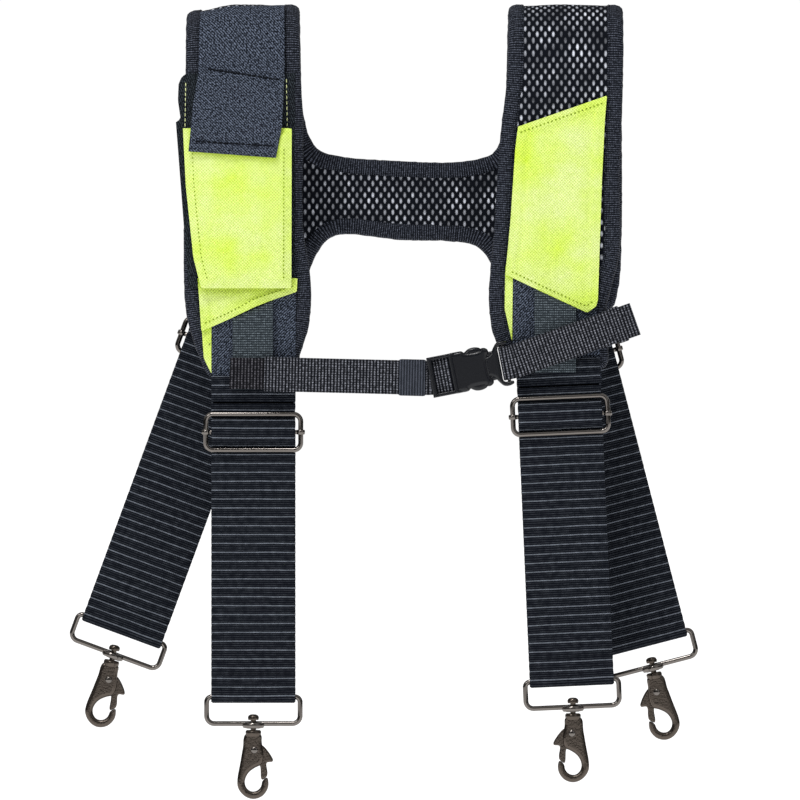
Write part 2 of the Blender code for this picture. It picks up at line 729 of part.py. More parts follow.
def make_right_chest_strap(finish):
    """The webbing from the right rail round the male half's bar, and its loose tail on top."""
    start = buckle_world() @ Vector((MALE_BAR, 0, 0))
    bend = (BUCKLE_TILT, RIGHT_TILT, 0.001, 0.006)
    line = bent_line((start.x, start.z), *bend)
    back = RAIL_BASE + CHEST_WEBBING / 2
    slant = math.cos(math.radians(RIGHT_TILT))
    lean = CHEST_WIDTH / 2 * math.tan(math.radians(RIGHT_TILT))
    left = (RIGHT_RAIL[0] - start.x) / slant - lean - 0.002
    right = (RIGHT_RAIL[1] - start.x) / slant + lean + 0.001
    middle = (CHEST_LAYER + back) / 2
    turn = (CHEST_LAYER - back) / 2
    tail = CHEST_LAYER + CHEST_WEBBING + GAP
    path = [(0.0798, tail), (0.014, tail), (0.007, MALE_BAR_OUT + BAR_TURN - 0.0003)]
    path += arc((0, MALE_BAR_OUT), BAR_TURN, 90, 270, 6)
    path += [(0.006, 0.0091), (0.0095, CHEST_LAYER - 0.0001)]
    path += arc((right, middle), turn, 90, -90, 6)
    path += [(left, back), (left - 0.004, 0.0088), (left - 0.009, 0.0088)]
    strap = band(path, line, CHEST_WIDTH / 2, *bend[2:])
    node("chest_strap_right", strap, finish["chest_webbing"])
    layers = (tail - CHEST_WEBBING / 2, tail + CHEST_WEBBING / 2)
    keeper = sleeve(line, (0.0665, 0.0725), layers, 0.0006)
    node("chest_keeper_right", keeper, finish["elastic"])


# ---- legs -----------------------------------------------------------------------------------------
def leg_strap(length):
    """The upper layer of a leg, round at the hinge so that it can swing under its tab."""
    half = LEG_WEBBING / 2
    outline = arc((0, 0), half, 90, 270, 4) + [(length, -half), (length, half)]
    width = LEG_WIDTH / 2
    return slab([outline], lambda a, b: (-width, b, -a), lambda a, b: (width, b, -a))


def leg_loop(length):
    """The webbing from beside the strap's end, round the ring's bar and up behind the strap."""
    back = 2 * RING_IN
    path = [(length - 0.0135, 0), (length - 0.0065, -0.0001)]
    path += arc((length, RING_IN), LOOP_RADIUS, 270, 450, 8)
    path += [(length - 0.0065, back + 0.0001), (length - 0.012, back), (SLIDER_DROP, back)]
    width = LEG_WIDTH / 2
    cells = ribbon(path, LEG_WEBBING)
    return slab(cells, lambda a, b: (-width, b, -a), lambda a, b: (width, b, -a))


def slider_turn():
    """The stretch of webbing that passes over the slider's bar."""
    out = SLIDER_OUT + WIRE + GAP + LEG_WEBBING / 2
    low = LEG_WEBBING + GAP
    path = [(down * MM, -(low + (out - low) * rise)) for down, rise in TURN_RISES]
    cells = ribbon(path, LEG_WEBBING)
    width = LEG_WIDTH / 2
    return slab(cells, lambda a, b: (-width, b, -a), lambda a, b: (width, b, -a))


def ring_mesh():
    """The rectangular ring with its swivel boss, hanging from its upper bar's centre line."""
    path = rounded_path(RING_WIDTH, RING_HEIGHT, RING_TOP_CORNER, RING_LOW_CORNER)
    half = BOSS_HEIGHT / 2
    boss = [(0, half), (BOSS_RADIUS, half), (BOSS_RADIUS, -half), (0, -half)]
    hole = [(0, 0.004), (BOSS_HOLE, 0.004), (BOSS_HOLE, -0.004), (0, -0.004)]
    down = Matrix.Translation((0, 0, -BOSS_DROP))
    return combined(
        wire_frame(path, WIRE),
        ("UNION", moved(turned(boss, 14), down)),
        ("DIFFERENCE", moved(turned(hole, 12), down)),
    )


def slider_bar_mesh():
    """The slider's middle bar, with an eye at each end round the frame's sides."""
    side = SLIDER_WIDTH / 2
    outline = arc((side, 0), EYE_RADIUS, -145, 145, 8) + arc((-side, 0), EYE_RADIUS, 35, 325, 8)
    hole = [(0, 0.003), (WIRE + GAP, 0.003), (WIRE + GAP, -0.003), (0, -0.003)]
    bar = slab([outline], lambda a, b: (a, b, -BAR_DEPTH / 2), lambda a, b: (a, b, BAR_DEPTH / 2))
    holes = [moved(turned(hole, 10), Matrix.Translation((way * side, 0, 0))) for way in (-1, 1)]
    return combined(bar, *(("DIFFERENCE", mesh) for mesh in holes))


def hook_mesh():
    """The hook's body: a slotted plate with a bowl, a neck and the stem that is peened over."""
    half = HOOK_THICKNESS / 2
    top = BOSS_DROP - 0.0063
    stem = [
        (0, -top),
        (HEAD_RADIUS, -top),
        (HEAD_RADIUS, -(BOSS_DROP - 0.0031)),
        (STEM_RADIUS, -(BOSS_DROP - 0.0031)),
        (STEM_RADIUS, -(BOSS_DROP + 0.0027)),
        (NECK_RADIUS, -(BOSS_DROP + 0.0029)),
        (NECK_RADIUS, -0.0222),
        (0, -0.0222),
    ]
    slot = prism(GATE_ROOM, -GATE_SLOT / 2, GATE_SLOT / 2)
    return combined(
        prism(HOOK_EDGE, -half, half),
        ("UNION", turned(stem, 12)),
        ("DIFFERENCE", slot),
        ("DIFFERENCE", rivet_rod(RIVET_RADIUS + GAP, 0.005)),
    )


def rivet_rod(radius, reach):
    """A rod along Y through the gate's pivot."""
    rod = turned([(0, reach), (radius, reach), (radius, -reach), (0, -reach)], 10)
    turn = Matrix.Rotation(math.pi / 2, 4, "X")
    return moved(rod, Matrix.Translation((RIVET.x, 0, -RIVET.z)) @ turn)


def rivet_mesh():
    shank = HOOK_THICKNESS / 2 + GAP
    end = shank + 0.0006
    profile = [(0, end), (RIVET_HEAD * 0.7, end), (RIVET_HEAD, shank), (RIVET_RADIUS, shank)]
    profile += [(r, -z) for r, z in reversed(profile)]
    turn = Matrix.Rotation(math.pi / 2, 4, "X")
    return moved(turned(profile, 10), Matrix.Translation((RIVET.x, 0, -RIVET.z)) @ turn)


def gate_mesh():
    half = GATE_THICKNESS / 2
    mesh = combined(
        prism(GATE_EDGE, -half, half),
        ("DIFFERENCE", rivet_rod(RIVET_RADIUS + GAP, 0.005)),
    )
    return moved(mesh, Matrix.Translation((-RIVET.x, 0, RIVET.z)))


def leg_world(place_at, lean):
    """A leg's frame: hanging along -Z, with its outer side towards -Y and then leaned."""
    turned_back = Matrix.Rotation(math.pi if place_at[1] > 0 else 0, 4, "Z")
    return Matrix.Translation(place_at) @ Matrix.Rotation(math.radians(lean), 4, "Y") @ turned_back


def make_leg(name, world, length, hook_lean, trigger_right, meshes, finish):
    fold = pivot(f"{name}_leg_fold", world)
    strap = leg_strap(length - 0.0138)
    node(f"{name}_leg_strap", strap, finish["leg_webbing"], world, fold)
    loop = pivot(f"{name}_loop_slide", world, fold)
    node(f"{name}_leg_loop", leg_loop(length), finish["leg_webbing"], world, loop)

    at_slider = world @ Matrix.Translation((0, -SLIDER_OUT, -SLIDER_DROP))
    slide = pivot(f"{name}_slider_slide", at_slider, fold)
    lift = at_slider @ Matrix.Translation((0, 0, SLIDER_HEIGHT / 2))
    node(f"{name}_slider_frame", meshes["slider_frame"], finish["metal"], lift, slide)
    node(f"{name}_slider_bar", meshes["slider_bar"], finish["metal"], at_slider, slide)
    at_turn = world @ Matrix.Translation((0, 0, -SLIDER_DROP))
    node(f"{name}_slider_turn", meshes["slider_turn"], finish["leg_webbing"], at_turn, slide)

    at_ring = world @ Matrix.Translation((0, RING_IN, -length))
    ring = pivot(f"{name}_ring_hinge", at_ring, loop)
    node(f"{name}_ring", meshes["ring"], finish["metal"], at_ring, ring)

    boss = (at_ring @ Matrix.Translation((0, 0, -BOSS_DROP))).translation
    lean = Matrix.Rotation(math.radians(hook_lean), 4, "Y")
    facing = Matrix.Rotation(0 if trigger_right else math.pi, 4, "Z")
    at_hook = Matrix.Translation(boss) @ lean @ facing @ Matrix.Translation((0, 0, BOSS_DROP))
    swivel = pivot(f"{name}_hook_swivel", at_hook, ring)
    node(f"{name}_hook_body", meshes["hook"], finish["metal"], at_hook, swivel)
    node(f"{name}_gate_rivet", meshes["rivet"], finish["metal"], at_hook, swivel)
    at_gate = at_hook @ Matrix.Translation((RIVET.x, 0, -RIVET.z))
    gate = pivot(f"{name}_gate_pivot", at_gate, swivel)
    node(f"{name}_gate", meshes["gate"], finish["metal"], at_gate, gate)


def make_legs(finish):
    frame_path = rounded_path(SLIDER_WIDTH, SLIDER_HEIGHT, SLIDER_CORNER, SLIDER_CORNER)
    meshes = {
        "slider_frame": wire_frame(frame_path, WIRE),
        "slider_bar": slider_bar_mesh(),
        "slider_turn": slider_turn(),
        "ring": ring_mesh(),
        "hook": hook_mesh(),
        "gate": gate_mesh(),
        "rivet": rivet_mesh(),
    }
    for name, place_at, lean, length, hook_lean, trigger_right in LEGS:
        world = leg_world(place_at, lean)
        make_leg(name, world, length, hook_lean, trigger_right, meshes, finish)


def main():
    for obj in list(bpy.data.objects):
        bpy.data.objects.remove(obj)
    finish = make_materials()
    make_yoke(finish)
    make_panels(finish)
    make_rail("left_rail", LEFT_RAIL, finish)
    make_rail("right_rail", RIGHT_RAIL, finish)
    make_pocket(finish)
    make_left_chest_strap(finish)
    make_right_chest_strap(finish)
    make_female(finish)
    make_male(finish)
    make_prongs(finish)
    make_legs(finish)
    for obj in bpy.data.objects:
        if obj.type == "MESH":
            shade_round(obj)


main()
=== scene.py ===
"""The tool belt's shoulder harness as a studio picture: soft pads, webbing, metal and buckle.

Soft goods are modelled flat, as (across, along, out), and then wrapped over the shoulder fold.
Along runs over the fold: 0 at the top, positive down the front and negative down the back.
"""

import json
import math

import bmesh
import bpy
import numpy as np
from mathutils import Matrix, Vector, noise
from mathutils.bvhtree import BVHTree
from mathutils.geometry import delaunay_2d_cdt

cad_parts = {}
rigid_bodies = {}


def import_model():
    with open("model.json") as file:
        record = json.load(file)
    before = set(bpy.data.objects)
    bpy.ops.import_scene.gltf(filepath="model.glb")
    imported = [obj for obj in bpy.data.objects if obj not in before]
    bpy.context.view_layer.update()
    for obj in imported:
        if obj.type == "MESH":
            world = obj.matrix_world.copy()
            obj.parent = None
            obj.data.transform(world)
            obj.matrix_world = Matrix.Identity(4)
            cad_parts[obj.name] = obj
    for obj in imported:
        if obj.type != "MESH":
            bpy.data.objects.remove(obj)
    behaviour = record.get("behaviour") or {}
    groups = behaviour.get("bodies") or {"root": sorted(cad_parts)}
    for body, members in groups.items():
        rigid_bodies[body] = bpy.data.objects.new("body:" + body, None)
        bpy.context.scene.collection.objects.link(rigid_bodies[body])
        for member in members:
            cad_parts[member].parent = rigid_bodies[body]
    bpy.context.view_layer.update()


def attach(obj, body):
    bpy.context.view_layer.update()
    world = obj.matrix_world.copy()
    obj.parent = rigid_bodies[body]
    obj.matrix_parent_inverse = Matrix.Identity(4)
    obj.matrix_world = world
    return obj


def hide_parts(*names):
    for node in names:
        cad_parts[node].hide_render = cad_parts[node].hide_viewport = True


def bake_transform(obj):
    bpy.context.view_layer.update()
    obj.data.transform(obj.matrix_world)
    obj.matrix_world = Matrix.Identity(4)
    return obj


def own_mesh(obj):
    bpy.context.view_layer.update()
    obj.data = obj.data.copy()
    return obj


MM = 0.001
GAP = 0.0003

# ---- pads ----------------------------------------------------------------------------------------
# Radii of the shoulder fold, on its inside and at the middle of the pad's thickness
FOLD_RADIUS = 0.022
MID_RADIUS = 0.0267
QUARTER_FOLD = MID_RADIUS * math.pi / 2
PAD_HALF = 0.0036
LEAST_GROUND = 0.0032
# How far the pad's outer left corner hangs down at the fold
CORNER_SAG = 0.0040
PAD_RISE = 0.0014
PAD_INSET = 0.0045
PINNED_BORDER = 0.0028
CLOTH_FRAMES = 12
# A crease down the middle of the crosspiece
CREASE_SPAN = (-0.15, -0.1)
CREASE_ACROSS = -0.003
CREASE_WIDTH = 0.004
CREASE_DEPTH = 0.0007
BINDING_SHOWN = 0.0092
BINDING_HALF = 0.0043
# The gap under a sheet, the step at its folded hem and its fullness inside the hem
SHEET_LIFT = 0.0006
HEM_FOLD = 0.0011
PANEL_BILLOW = 0.0019
# Heights of a rail's ends and of its middle, the length of its slopes and what stays covered
RAIL_BASE = 0.0064
RAIL_RAISED = 0.0082
RAIL_RAMP = 0.0038
RAIL_HIDDEN = 0.0062
POCKET_HIGH = 0.0152
POCKET_MOUTH = 0.0846
GUSSET_FOOT = 0.0068
# The flap's hinge as (along, out), and where along the pad it has risen onto the pocket
FLAP_HINGE = (0.0529, 0.0075)
FLAP_OVER = 0.0825
FLAP_THICKNESS = 0.0012

# ---- webbing and metal ---------------------------------------------------------------------------
LEG_WIDTH = 0.0494
LEG_WEBBING = 0.0018
# The pitch of the pale lines across the leg webbing, and of the scallops of its edge
LEG_RIB = 0.0052
CHEST_WIDTH = 0.0196
CHEST_WEBBING = 0.0015
# Heights of the chest strap's upper and lower layer over the middle of the pad
CHEST_LAYER = 0.01075
CHEST_UNDER = 0.0089
BEND_STEPS = 8
KEEPER_CORNER = 0.0008
KEEPER_WALL = 0.0006
# Finish and slot
CHEST_LOOK = ("chest_webbing", "chest_webbing")
WIRE = 0.0015
RING_SIZE = (0.0547, 0.01565)
# Radii of the ring's upper and lower corners
RING_CORNERS = (0.003, 0.0045)
SLIDER_SIZE = (0.0555, 0.0209)
SLIDER_CORNER = 0.0042
# Distances from a leg's hinge or ring, down the leg and out of its plane
SLIDER_DROP = 0.0167
SLIDER_OUT = LEG_WEBBING / 2 + GAP + WIRE
# The webbing's arch over the slider's bar, as (along, share of its height)
SLIDER_ARCH = (
    (-0.0073, 0), (-0.0052, 0.35), (-0.0026, 0.84), (0, 1), (0.0026, 0.84), (0.0052, 0.35),
    (0.0073, 0),
)
BOSS_DROP = 0.0166
RING_IN = 0.0012
LOOP_RADIUS = WIRE + GAP + LEG_WEBBING / 2
HOOK_THICKNESS = 0.0056
GATE_THICKNESS = 0.0024
RIVET = Vector((0.0006, 0, 0.0311))
FRONT_OUT = -0.03255

# name, place of the fold hinge, lean of the leg, length to the ring, lean of the hook, and
# whether the trigger faces +X
LEGS = (
    ("front_left", (-0.0886, FRONT_OUT, -0.2255), 0.0, 0.1716, 0.0, True),
    ("front_right", (0.0902, FRONT_OUT, -0.2156), -2.5, 0.1719, 0.0, False),
    ("rear_left", (-0.0999, MID_RADIUS, -0.1776), 20.2, 0.1929, 12.0, True),
    ("rear_right", (0.0953, MID_RADIUS, -0.1838), -14.5, 0.1876, -11.0, False),
)

# ---- chest strap ---------------------------------------------------------------------------------
BUCKLE_PLACE = (0.01485, 0, -0.2105)
BUCKLE_TILT = 11.0
# Places of the socket's and the plug's webbing bar, along the buckle and out
CROSSBAR = 0.012
CROSSBAR_OUT = 0.00985
MALE_BAR = 0.0452
MALE_BAR_OUT = 0.0109
BAR_TURN = 0.001 * math.sqrt(2) + GAP + CHEST_WEBBING / 2
LEFT_TILT = -1.4
RIGHT_TILT = 19.4
# Each rail's two sides and its lower end
LEFT_RAIL = (-0.1007, -0.0771, 0.2437)
RIGHT_RAIL = (0.0758, 0.1001, 0.2336)


def mm(points):
    """Points in millimetres as metres."""
    return [tuple(value * MM for value in point) for point in points]


YOKE_EDGE = mm([
    (-63.4, 234), (-61.6, 217), (-56.9, 202), (-55.1, 184.5), (-56.3, 164),
    (-59.8, 143), (-59.8, 82), (-61.6, 45), (-61.6, -45), (-60, -75),
    (-56, -89), (-51, -95.8), (-37.5, -99.9), (-8.7, -102.2), (25.4, -103.4),
    (41.9, -101.6), (51.9, -98.1), (56.5, -91), (58.8, -78), (60.5, -45),
    (60.7, 43), (58.9, 67), (56.6, 84.6), (54.2, 117.5), (52.5, 144.6),
    (49.5, 180.4), (50.1, 194), (52.5, 206.3), (58, 217), (66, 225),
    (117, 224), (118.9, 212), (117.8, 190), (121.9, 172.8), (125.4, 158),
    (125.4, 114), (126.6, 84.6), (127.7, 45), (127.7, -45), (127.7, -150),
    (126, -176), (121, -190), (73, -202.5), (65, -199), (60, -190),
    (56, -178), (52.5, -166), (47.2, -156.5), (40.7, -151.6), (25.4, -149.3),
    (-1.6, -148.7), (-34, -145.2), (-42.5, -146.6), (-49, -152), (-55, -163),
    (-59, -176), (-63, -187), (-70, -197), (-78, -198.5), (-122, -182),
    (-127.5, -172), (-128.5, -150), (-128, -45), (-128, 45), (-128.6, 184),
    (-126.3, 199), (-120.4, 217), (-112.7, 230.4),
])
POCKET_BACK = mm([
    (-127.5, 51.5), (-64.2, 52), (-64.2, 178.4), (-126.5, 178.4), (-130.2, 130), (-134, 80.5),
    (-131.2, 79), (-132.8, 68), (-132.4, 58), (-130.5, 53.5),
])
LEFT_HI_VIS = mm([
    (-121.2, 172), (-62.8, 172), (-63.2, 180), (-76.3, 184.5), (-87.5, 188.8),
    (-103.3, 196.3), (-119.0, 203.2),
])
RIGHT_HI_VIS = mm([
    (66.3, 83.4), (118.3, 65.2), (117.1, 79), (115.4, 114), (113, 184.6),
    (111.9, 188.7), (106.6, 192.2), (84.8, 182.2), (58.8, 169.9), (61.9, 137.5),
    (64.6, 96.4),
])
# The narrow strips of the same cloth that run on under the panels' hems
STRIPS = {
    "left_panel": mm([(-119.2, 196), (-113.2, 196), (-113.2, 228), (-117.6, 219)]),
    "right_panel": mm([(58.9, 165), (63.3, 165), (62.8, 209.3), (58.4, 190)]),
}
LEFT_TWILL = mm([
    (-113, 199), (-103.1, 194.7), (-87.3, 186.4), (-76.1, 182.9), (-63.9, 178.5),
    (-63.9, 244.2), (-113.0, 244.2),
])
RIGHT_TWILL = mm([
    (63.3, 170.3), (84.6, 180.6), (106.5, 190.6), (112, 187.3), (115.2, 233), (65.9, 235.2),
    (63.3, 214),
])
# Rows of stitching on the hi-vis panels, the pocket's front and the pocket's backing
PANEL_ROWS = (
    mm([(-117.5, 198.6), (-103.3, 192.4), (-87.5, 183.9), (-76.3, 180.4), (-65, 176.6)]),
    mm([(67, 87), (116.3, 69.5)]),
    mm([(62, 168), (84.5, 178.6), (106, 188.4), (110.3, 185.5)]),
)
POCKET_ROWS = (
    mm([(-124.2, 96), (-123.2, 118), (-119, 160), (-115.4, 173)]),
    mm([(-70.6, 96), (-70.8, 173)]),
)
BACKING_ROWS = (
    mm([(-128.2, 57), (-128.6, 84)]),
    mm([(-69.3, 55), (-68.8, 84)]),
)
FLAP_SHEET = mm([
    (-119.9, 14), (-70.6, 12), (-70.3, 51.7), (-71.8, 84), (-75.2, 102), (-126.4, 98.2),
    (-123.6, 70), (-120.7, 51.7),
])
POCKET_FRONT = mm([
    (-129.7, 84.5), (-66.1, 84.5), (-66.3, 178), (-119.1, 178), (-123.6, 160), (-128, 118),
])
HOOK_EDGE = mm([
    (-4.7, 22), (4.3, 22), (5.0, 27), (5.8, 32), (5.9, 36), (4.6, 39.6), (1.0, 41.5),
    (-2.4, 44.0), (-4.4, 47.2), (-4.95, 50.3), (-4.0, 53.2), (-1.5, 55.2), (1.2, 55.2),
    (3.4, 53.9), (4.6, 52), (5.3, 49.2), (8.0, 47.2), (8.9, 50.5), (8.3, 54), (5.8, 57.6),
    (2.6, 59.4), (-0.6, 59.8), (-4, 58.8), (-7.2, 56.2), (-9.2, 52.6), (-9.4, 48.5),
    (-7.6, 38), (-6.2, 30),
])
GATE_EDGE = mm([
    (-1.7, 30.0), (-0.8, 28.6), (1.6, 28.0), (5.2, 28.3), (11.5, 36.7), (11.2, 37.9),
    (7.9, 38.6), (8.3, 44.6), (7.9, 46.5), (5.1, 48.5), (4.5, 47.6), (4.1, 41.5),
    (3.2, 38.5), (-0.6, 34.0), (-1.9, 32.2),
])

for startup in list(bpy.data.objects):
    bpy.data.objects.remove(startup)
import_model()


# ---- materials -----------------------------------------------------------------------------------
class Finish:
    """A Principled material and short ways of adding the nodes that pattern it."""

    def __init__(self, name, colour, roughness, metallic=0.0, shine=0.05):
        self.material = bpy.data.materials.new(name)
        self.material.use_nodes = True
        self.tree = self.material.node_tree
        self.shader = self.tree.nodes["Principled BSDF"]
        self.shader.inputs["Base Color"].default_value = (*colour, 1)
        self.shader.inputs["Roughness"].default_value = roughness
        self.shader.inputs["Metallic"].default_value = metallic
        self.shader.inputs["Specular IOR Level"].default_value = shine

    def add(self, kind, **inputs):
        node = self.tree.nodes.new(kind)
        for key, value in inputs.items():
            self.feed(node.inputs[key.replace("_", " ")], value)
        return node

    def feed(self, socket, value):
        if isinstance(value, bpy.types.NodeSocket):
            self.tree.links.new(value, socket)
        else:
            socket.default_value = value

    def math(self, operation, first, second=0.0, third=0.0):
        node = self.tree.nodes.new("ShaderNodeMath")
        node.operation = operation
        for socket, value in zip(node.inputs, (first, second, third)):
            self.feed(socket, value)
        return node.outputs[0]

    def times(self, first, second):
        return self.math("MULTIPLY", first, second)

    def plus(self, first, second):
        return self.math("ADD", first, second)

    def clamped(self, value):
        return self.math("MINIMUM", self.math("MAXIMUM", value, 0.0), 1.0)

    def flat_place(self, turn=0.0):
        """The flat coordinates, turned by an angle in degrees."""
        uv = self.tree.nodes.new("ShaderNodeTexCoord").outputs["UV"]
        node = self.add("ShaderNodeMapping", Vector=uv, Rotation=(0, 0, math.radians(turn)))
        return node.outputs["Vector"]

    def flat_axes(self, turn=0.0):
        """The coordinates across and along, turned by an angle in degrees."""
        return self.add("ShaderNodeSeparateXYZ", Vector=self.flat_place(turn)).outputs[:2]

    def lines(self, coordinate, pitch, width):
        """1 on the lines of this pitch and 0 between them, with soft edges."""
        share = self.math("FRACT", self.math("DIVIDE", coordinate, pitch))
        distance = self.math("ABSOLUTE", self.math("SUBTRACT", share, 0.5))
        spread = self.tree.nodes.new("ShaderNodeMapRange")
        spread.interpolation_type = "SMOOTHSTEP"
        half = width / pitch / 2
        values = (distance, 0.5 - half * 1.6, 0.5 - half * 0.4, 0.0, 1.0)
        for socket, value in zip(spread.inputs, values):
            self.feed(socket, value)
        return spread.outputs["Result"]

    def noise(self, size, detail=2.0, vector=None):
        vector = vector or self.flat_place()
        node = self.add("ShaderNodeTexNoise", Vector=vector, Scale=1 / size, Detail=detail)
        return node.outputs["Fac"]

    def worn(self, size, gain, power):
        """Uneven wear: fine noise of this size, sharpened into bright specks."""
        return self.math("POWER", self.times(self.noise(size, 4.0), gain), power)

    def blend(self, factor, one, two):
        node = self.tree.nodes.new("ShaderNodeMix")
        node.data_type = "RGBA"
        self.feed(node.inputs["Factor"], factor)
        for socket, value in zip((node.inputs[6], node.inputs[7]), (one, two)):
            self.feed(socket, (*value, 1) if isinstance(value, tuple) else value)
        return node.outputs[2]

    def colour(self, socket):
        self.feed(self.shader.inputs["Base Color"], socket)

    def bump(self, height, depth, strength=1.0):
        node = self.add("ShaderNodeBump", Height=height, Strength=strength, Distance=depth)
        self.tree.links.new(node.outputs["Normal"], self.shader.inputs["Normal"])


def air_mesh(name):
    """A knitted spacer mesh: dark ground and pale ovals on a centred lattice."""
    made = Finish(name, (0.01, 0.011, 0.013), 0.85)
    across, along = made.flat_axes()
    spots = []
    for shift in (0.0, 0.5):
        cell = []
        for coordinate, pitch, oval in ((across, 0.0047, 0.0018), (along, 0.0068, 0.0033)):
            share = made.math("FRACT", made.plus(made.math("DIVIDE", coordinate, pitch), shift))
            offset = made.times(made.math("SUBTRACT", share, 0.5), pitch * 2 / oval)
            cell.append(made.times(offset, offset))
        spots.append(made.math("SUBTRACT", 1.25, made.plus(*cell)))
    spot = made.clamped(made.math("MAXIMUM", *spots))
    uneven = made.times(spot, made.worn(0.012, 1.5, 3.0))
    made.colour(made.blend(uneven, (0.004, 0.005, 0.008), (0.66, 0.69, 0.77)))
    made.bump(spot, -0.0005)
    return made.material


def ribbed(name, dark, pale, pitch, line, fine, depth=0.0003):
    """Woven tape: a thin pale line across it at each pitch, and fine ribs between."""
    made = Finish(name, dark, 0.7)
    across, along = made.flat_axes()
    along = made.plus(along, made.times(made.noise(0.03), 0.0008))
    strong = made.lines(along, pitch, line)
    ribs = made.lines(along, fine, fine * 0.45)
    weave = made.lines(across, 0.0011, 0.0006)
    worn = made.worn(0.0035, 1.7, 2.0)
    bright = made.times(strong, made.math("MULTIPLY_ADD", worn, 0.35, 0.35))
    faint = made.times(made.times(ribs, 0.13), worn)
    made.colour(made.blend(made.math("MAXIMUM", bright, faint), dark, pale))
    made.bump(made.plus(made.times(weave, 0.35), made.math("MAXIMUM", ribs, strong)), depth)
    return made.material


def dotted_webbing(name, dark, pale, pitch):
    """Narrow webbing with a grid of raised picks."""
    made = Finish(name, dark, 0.6)
    across, along = made.flat_axes()
    one = made.math("MULTIPLY_ADD", made.lines(across, pitch * 0.75, pitch * 0.4), 0.8, 0.2)
    dots = made.times(one, made.lines(along, pitch, pitch * 0.45))
    made.colour(made.blend(made.times(dots, made.worn(0.0016, 1.8, 3.0)), dark, pale))
    made.bump(dots, 0.0004)
    return made.material


def hi_vis(name):
    """Coated canvas: a bright yellow with a fine diagonal crosshatch and random paler patches, with
    painted shade: a deeper yellow where it is occluded, as in its creases.
    """
    made = Finish(name, (0.62, 0.9, 0.10), 0.7)
    hatch = [made.lines(made.flat_axes(turn)[0], 0.0013, 0.0006) for turn in (45, -45)]
    grain = made.times(made.plus(*hatch), 0.5)
    mottled = made.math("MULTIPLY_ADD", made.noise(0.0025, 4.0), 0.5, made.times(grain, 0.7))
    full = made.blend(mottled, (0.36, 0.56, 0.008), (0.78, 1.0, 0.09))
    pale_tone = made.blend(mottled, (0.45, 0.61, 0.09), (0.86, 0.95, 0.44))
    patches = made.clamped(made.math("MULTIPLY_ADD", made.noise(0.028, 3.0), 2.4, -0.55))
    # Painted shade: the AO factor keeps the paler patches out of occluded places, under the flap and
    # the pocket's lower edge, so the deeper yellow shows there.
    open_sky = made.add("ShaderNodeAmbientOcclusion", Distance=0.014).outputs["AO"]
    patches = made.times(patches, made.math("POWER", open_sky, 2.5))
    made.colour(made.blend(patches, full, pale_tone))
    made.bump(grain, 0.00025)
    return made.material


def twill(name, turn, dark=(0.0040, 0.0055, 0.0095), pale=(0.125, 0.15, 0.205)):
    """Dark cloth with fine ribs at an angle in degrees and pale specks on them."""
    made = Finish(name, dark, 0.8)
    rib = made.lines(made.flat_axes(turn)[0], 0.0012, 0.0007)
    made.colour(made.blend(made.times(rib, made.worn(0.0010, 1.85, 8.0)), dark, pale))
    made.bump(rib, 0.0003)
    return made.material


def metal(name, colour, roughness, grain=0.0):
    made = Finish(name, colour, roughness, 1.0, 0.5)
    if grain:
        place = made.tree.nodes.new("ShaderNodeTexCoord").outputs["Object"]
        made.bump(made.noise(0.0012, 3.0, place), grain)
    return made.material


def plain(name, colour, roughness, shine=0.05):
    return Finish(name, colour, roughness, 0.0, shine).material


FINISHES = (
    ("air_mesh", air_mesh),
    ("hi_vis", hi_vis),
    ("binding", dotted_webbing, (0.0035, 0.0045, 0.0075), (0.13, 0.145, 0.19), 0.0013),
    ("rail_webbing", dotted_webbing, (0.016, 0.021, 0.026), (0.19, 0.23, 0.26), 0.0014),
    ("chest_webbing", dotted_webbing, (0.0025, 0.003, 0.005), (0.24, 0.25, 0.29), 0.0019),
    # Painted shade: a darker copy of the chest webbing, for the loop at the chest strap's left end,
    # which lies lower than the doubled layer
    ("loop_webbing", dotted_webbing, (0.003, 0.003, 0.0045), (0.11, 0.108, 0.125), 0.0019),
    (
        "leg_webbing", ribbed, (0.0026, 0.0038, 0.0075), (0.22, 0.245, 0.29), LEG_RIB, 0.0007,
        0.0013, 0.0005,
    ),
    ("elastic", ribbed, (0.018, 0.021, 0.028), (0.10, 0.11, 0.14), 0.0016, 0.0007, 0.0008),
    ("flap_twill", twill, 45),
    ("tab_twill", twill, -45),
    ("fleece", twill, 20, (0.005, 0.006, 0.008), (0.04, 0.05, 0.06)),
    ("metal", metal, (0.145, 0.132, 0.122), 0.09),
    ("cast_metal", metal, (0.085, 0.071, 0.060), 0.22, 0.00010),
    ("buckle", plain, (0.0035, 0.0042, 0.0065), 0.25, 0.3),
    ("olive_thread", plain, (0.17, 0.24, 0.02), 0.7),
    ("pale_thread", plain, (0.72, 0.78, 0.40), 0.6),
    ("dark_thread", plain, (0.006, 0.007, 0.010), 0.6),
)
FINISH = {name: make(name, *values) for name, make, *values in FINISHES}


def eased(value):
    value = min(max(value, 0.0), 1.0)
    return value * value * (3 - 2 * value)


# ---- curves in the flat --------------------------------------------------------------------------
def resampled(points, spacing, closed=True):
    """Evenly spaced points along a polyline, with the lengths at which they lie."""
    points = np.array(points, float)
    if closed:
        points = np.vstack([points, points[:1]])
    lengths = np.concatenate([[0], np.cumsum(np.linalg.norm(np.diff(points, axis=0), axis=1))])
    count = max(int(round(lengths[-1] / spacing)), 3)
    at = np.linspace(0, lengths[-1], count + 1)
    if closed:
        at = at[:-1]
    return np.stack([np.interp(at, lengths, column) for column in points.T], axis=1), at


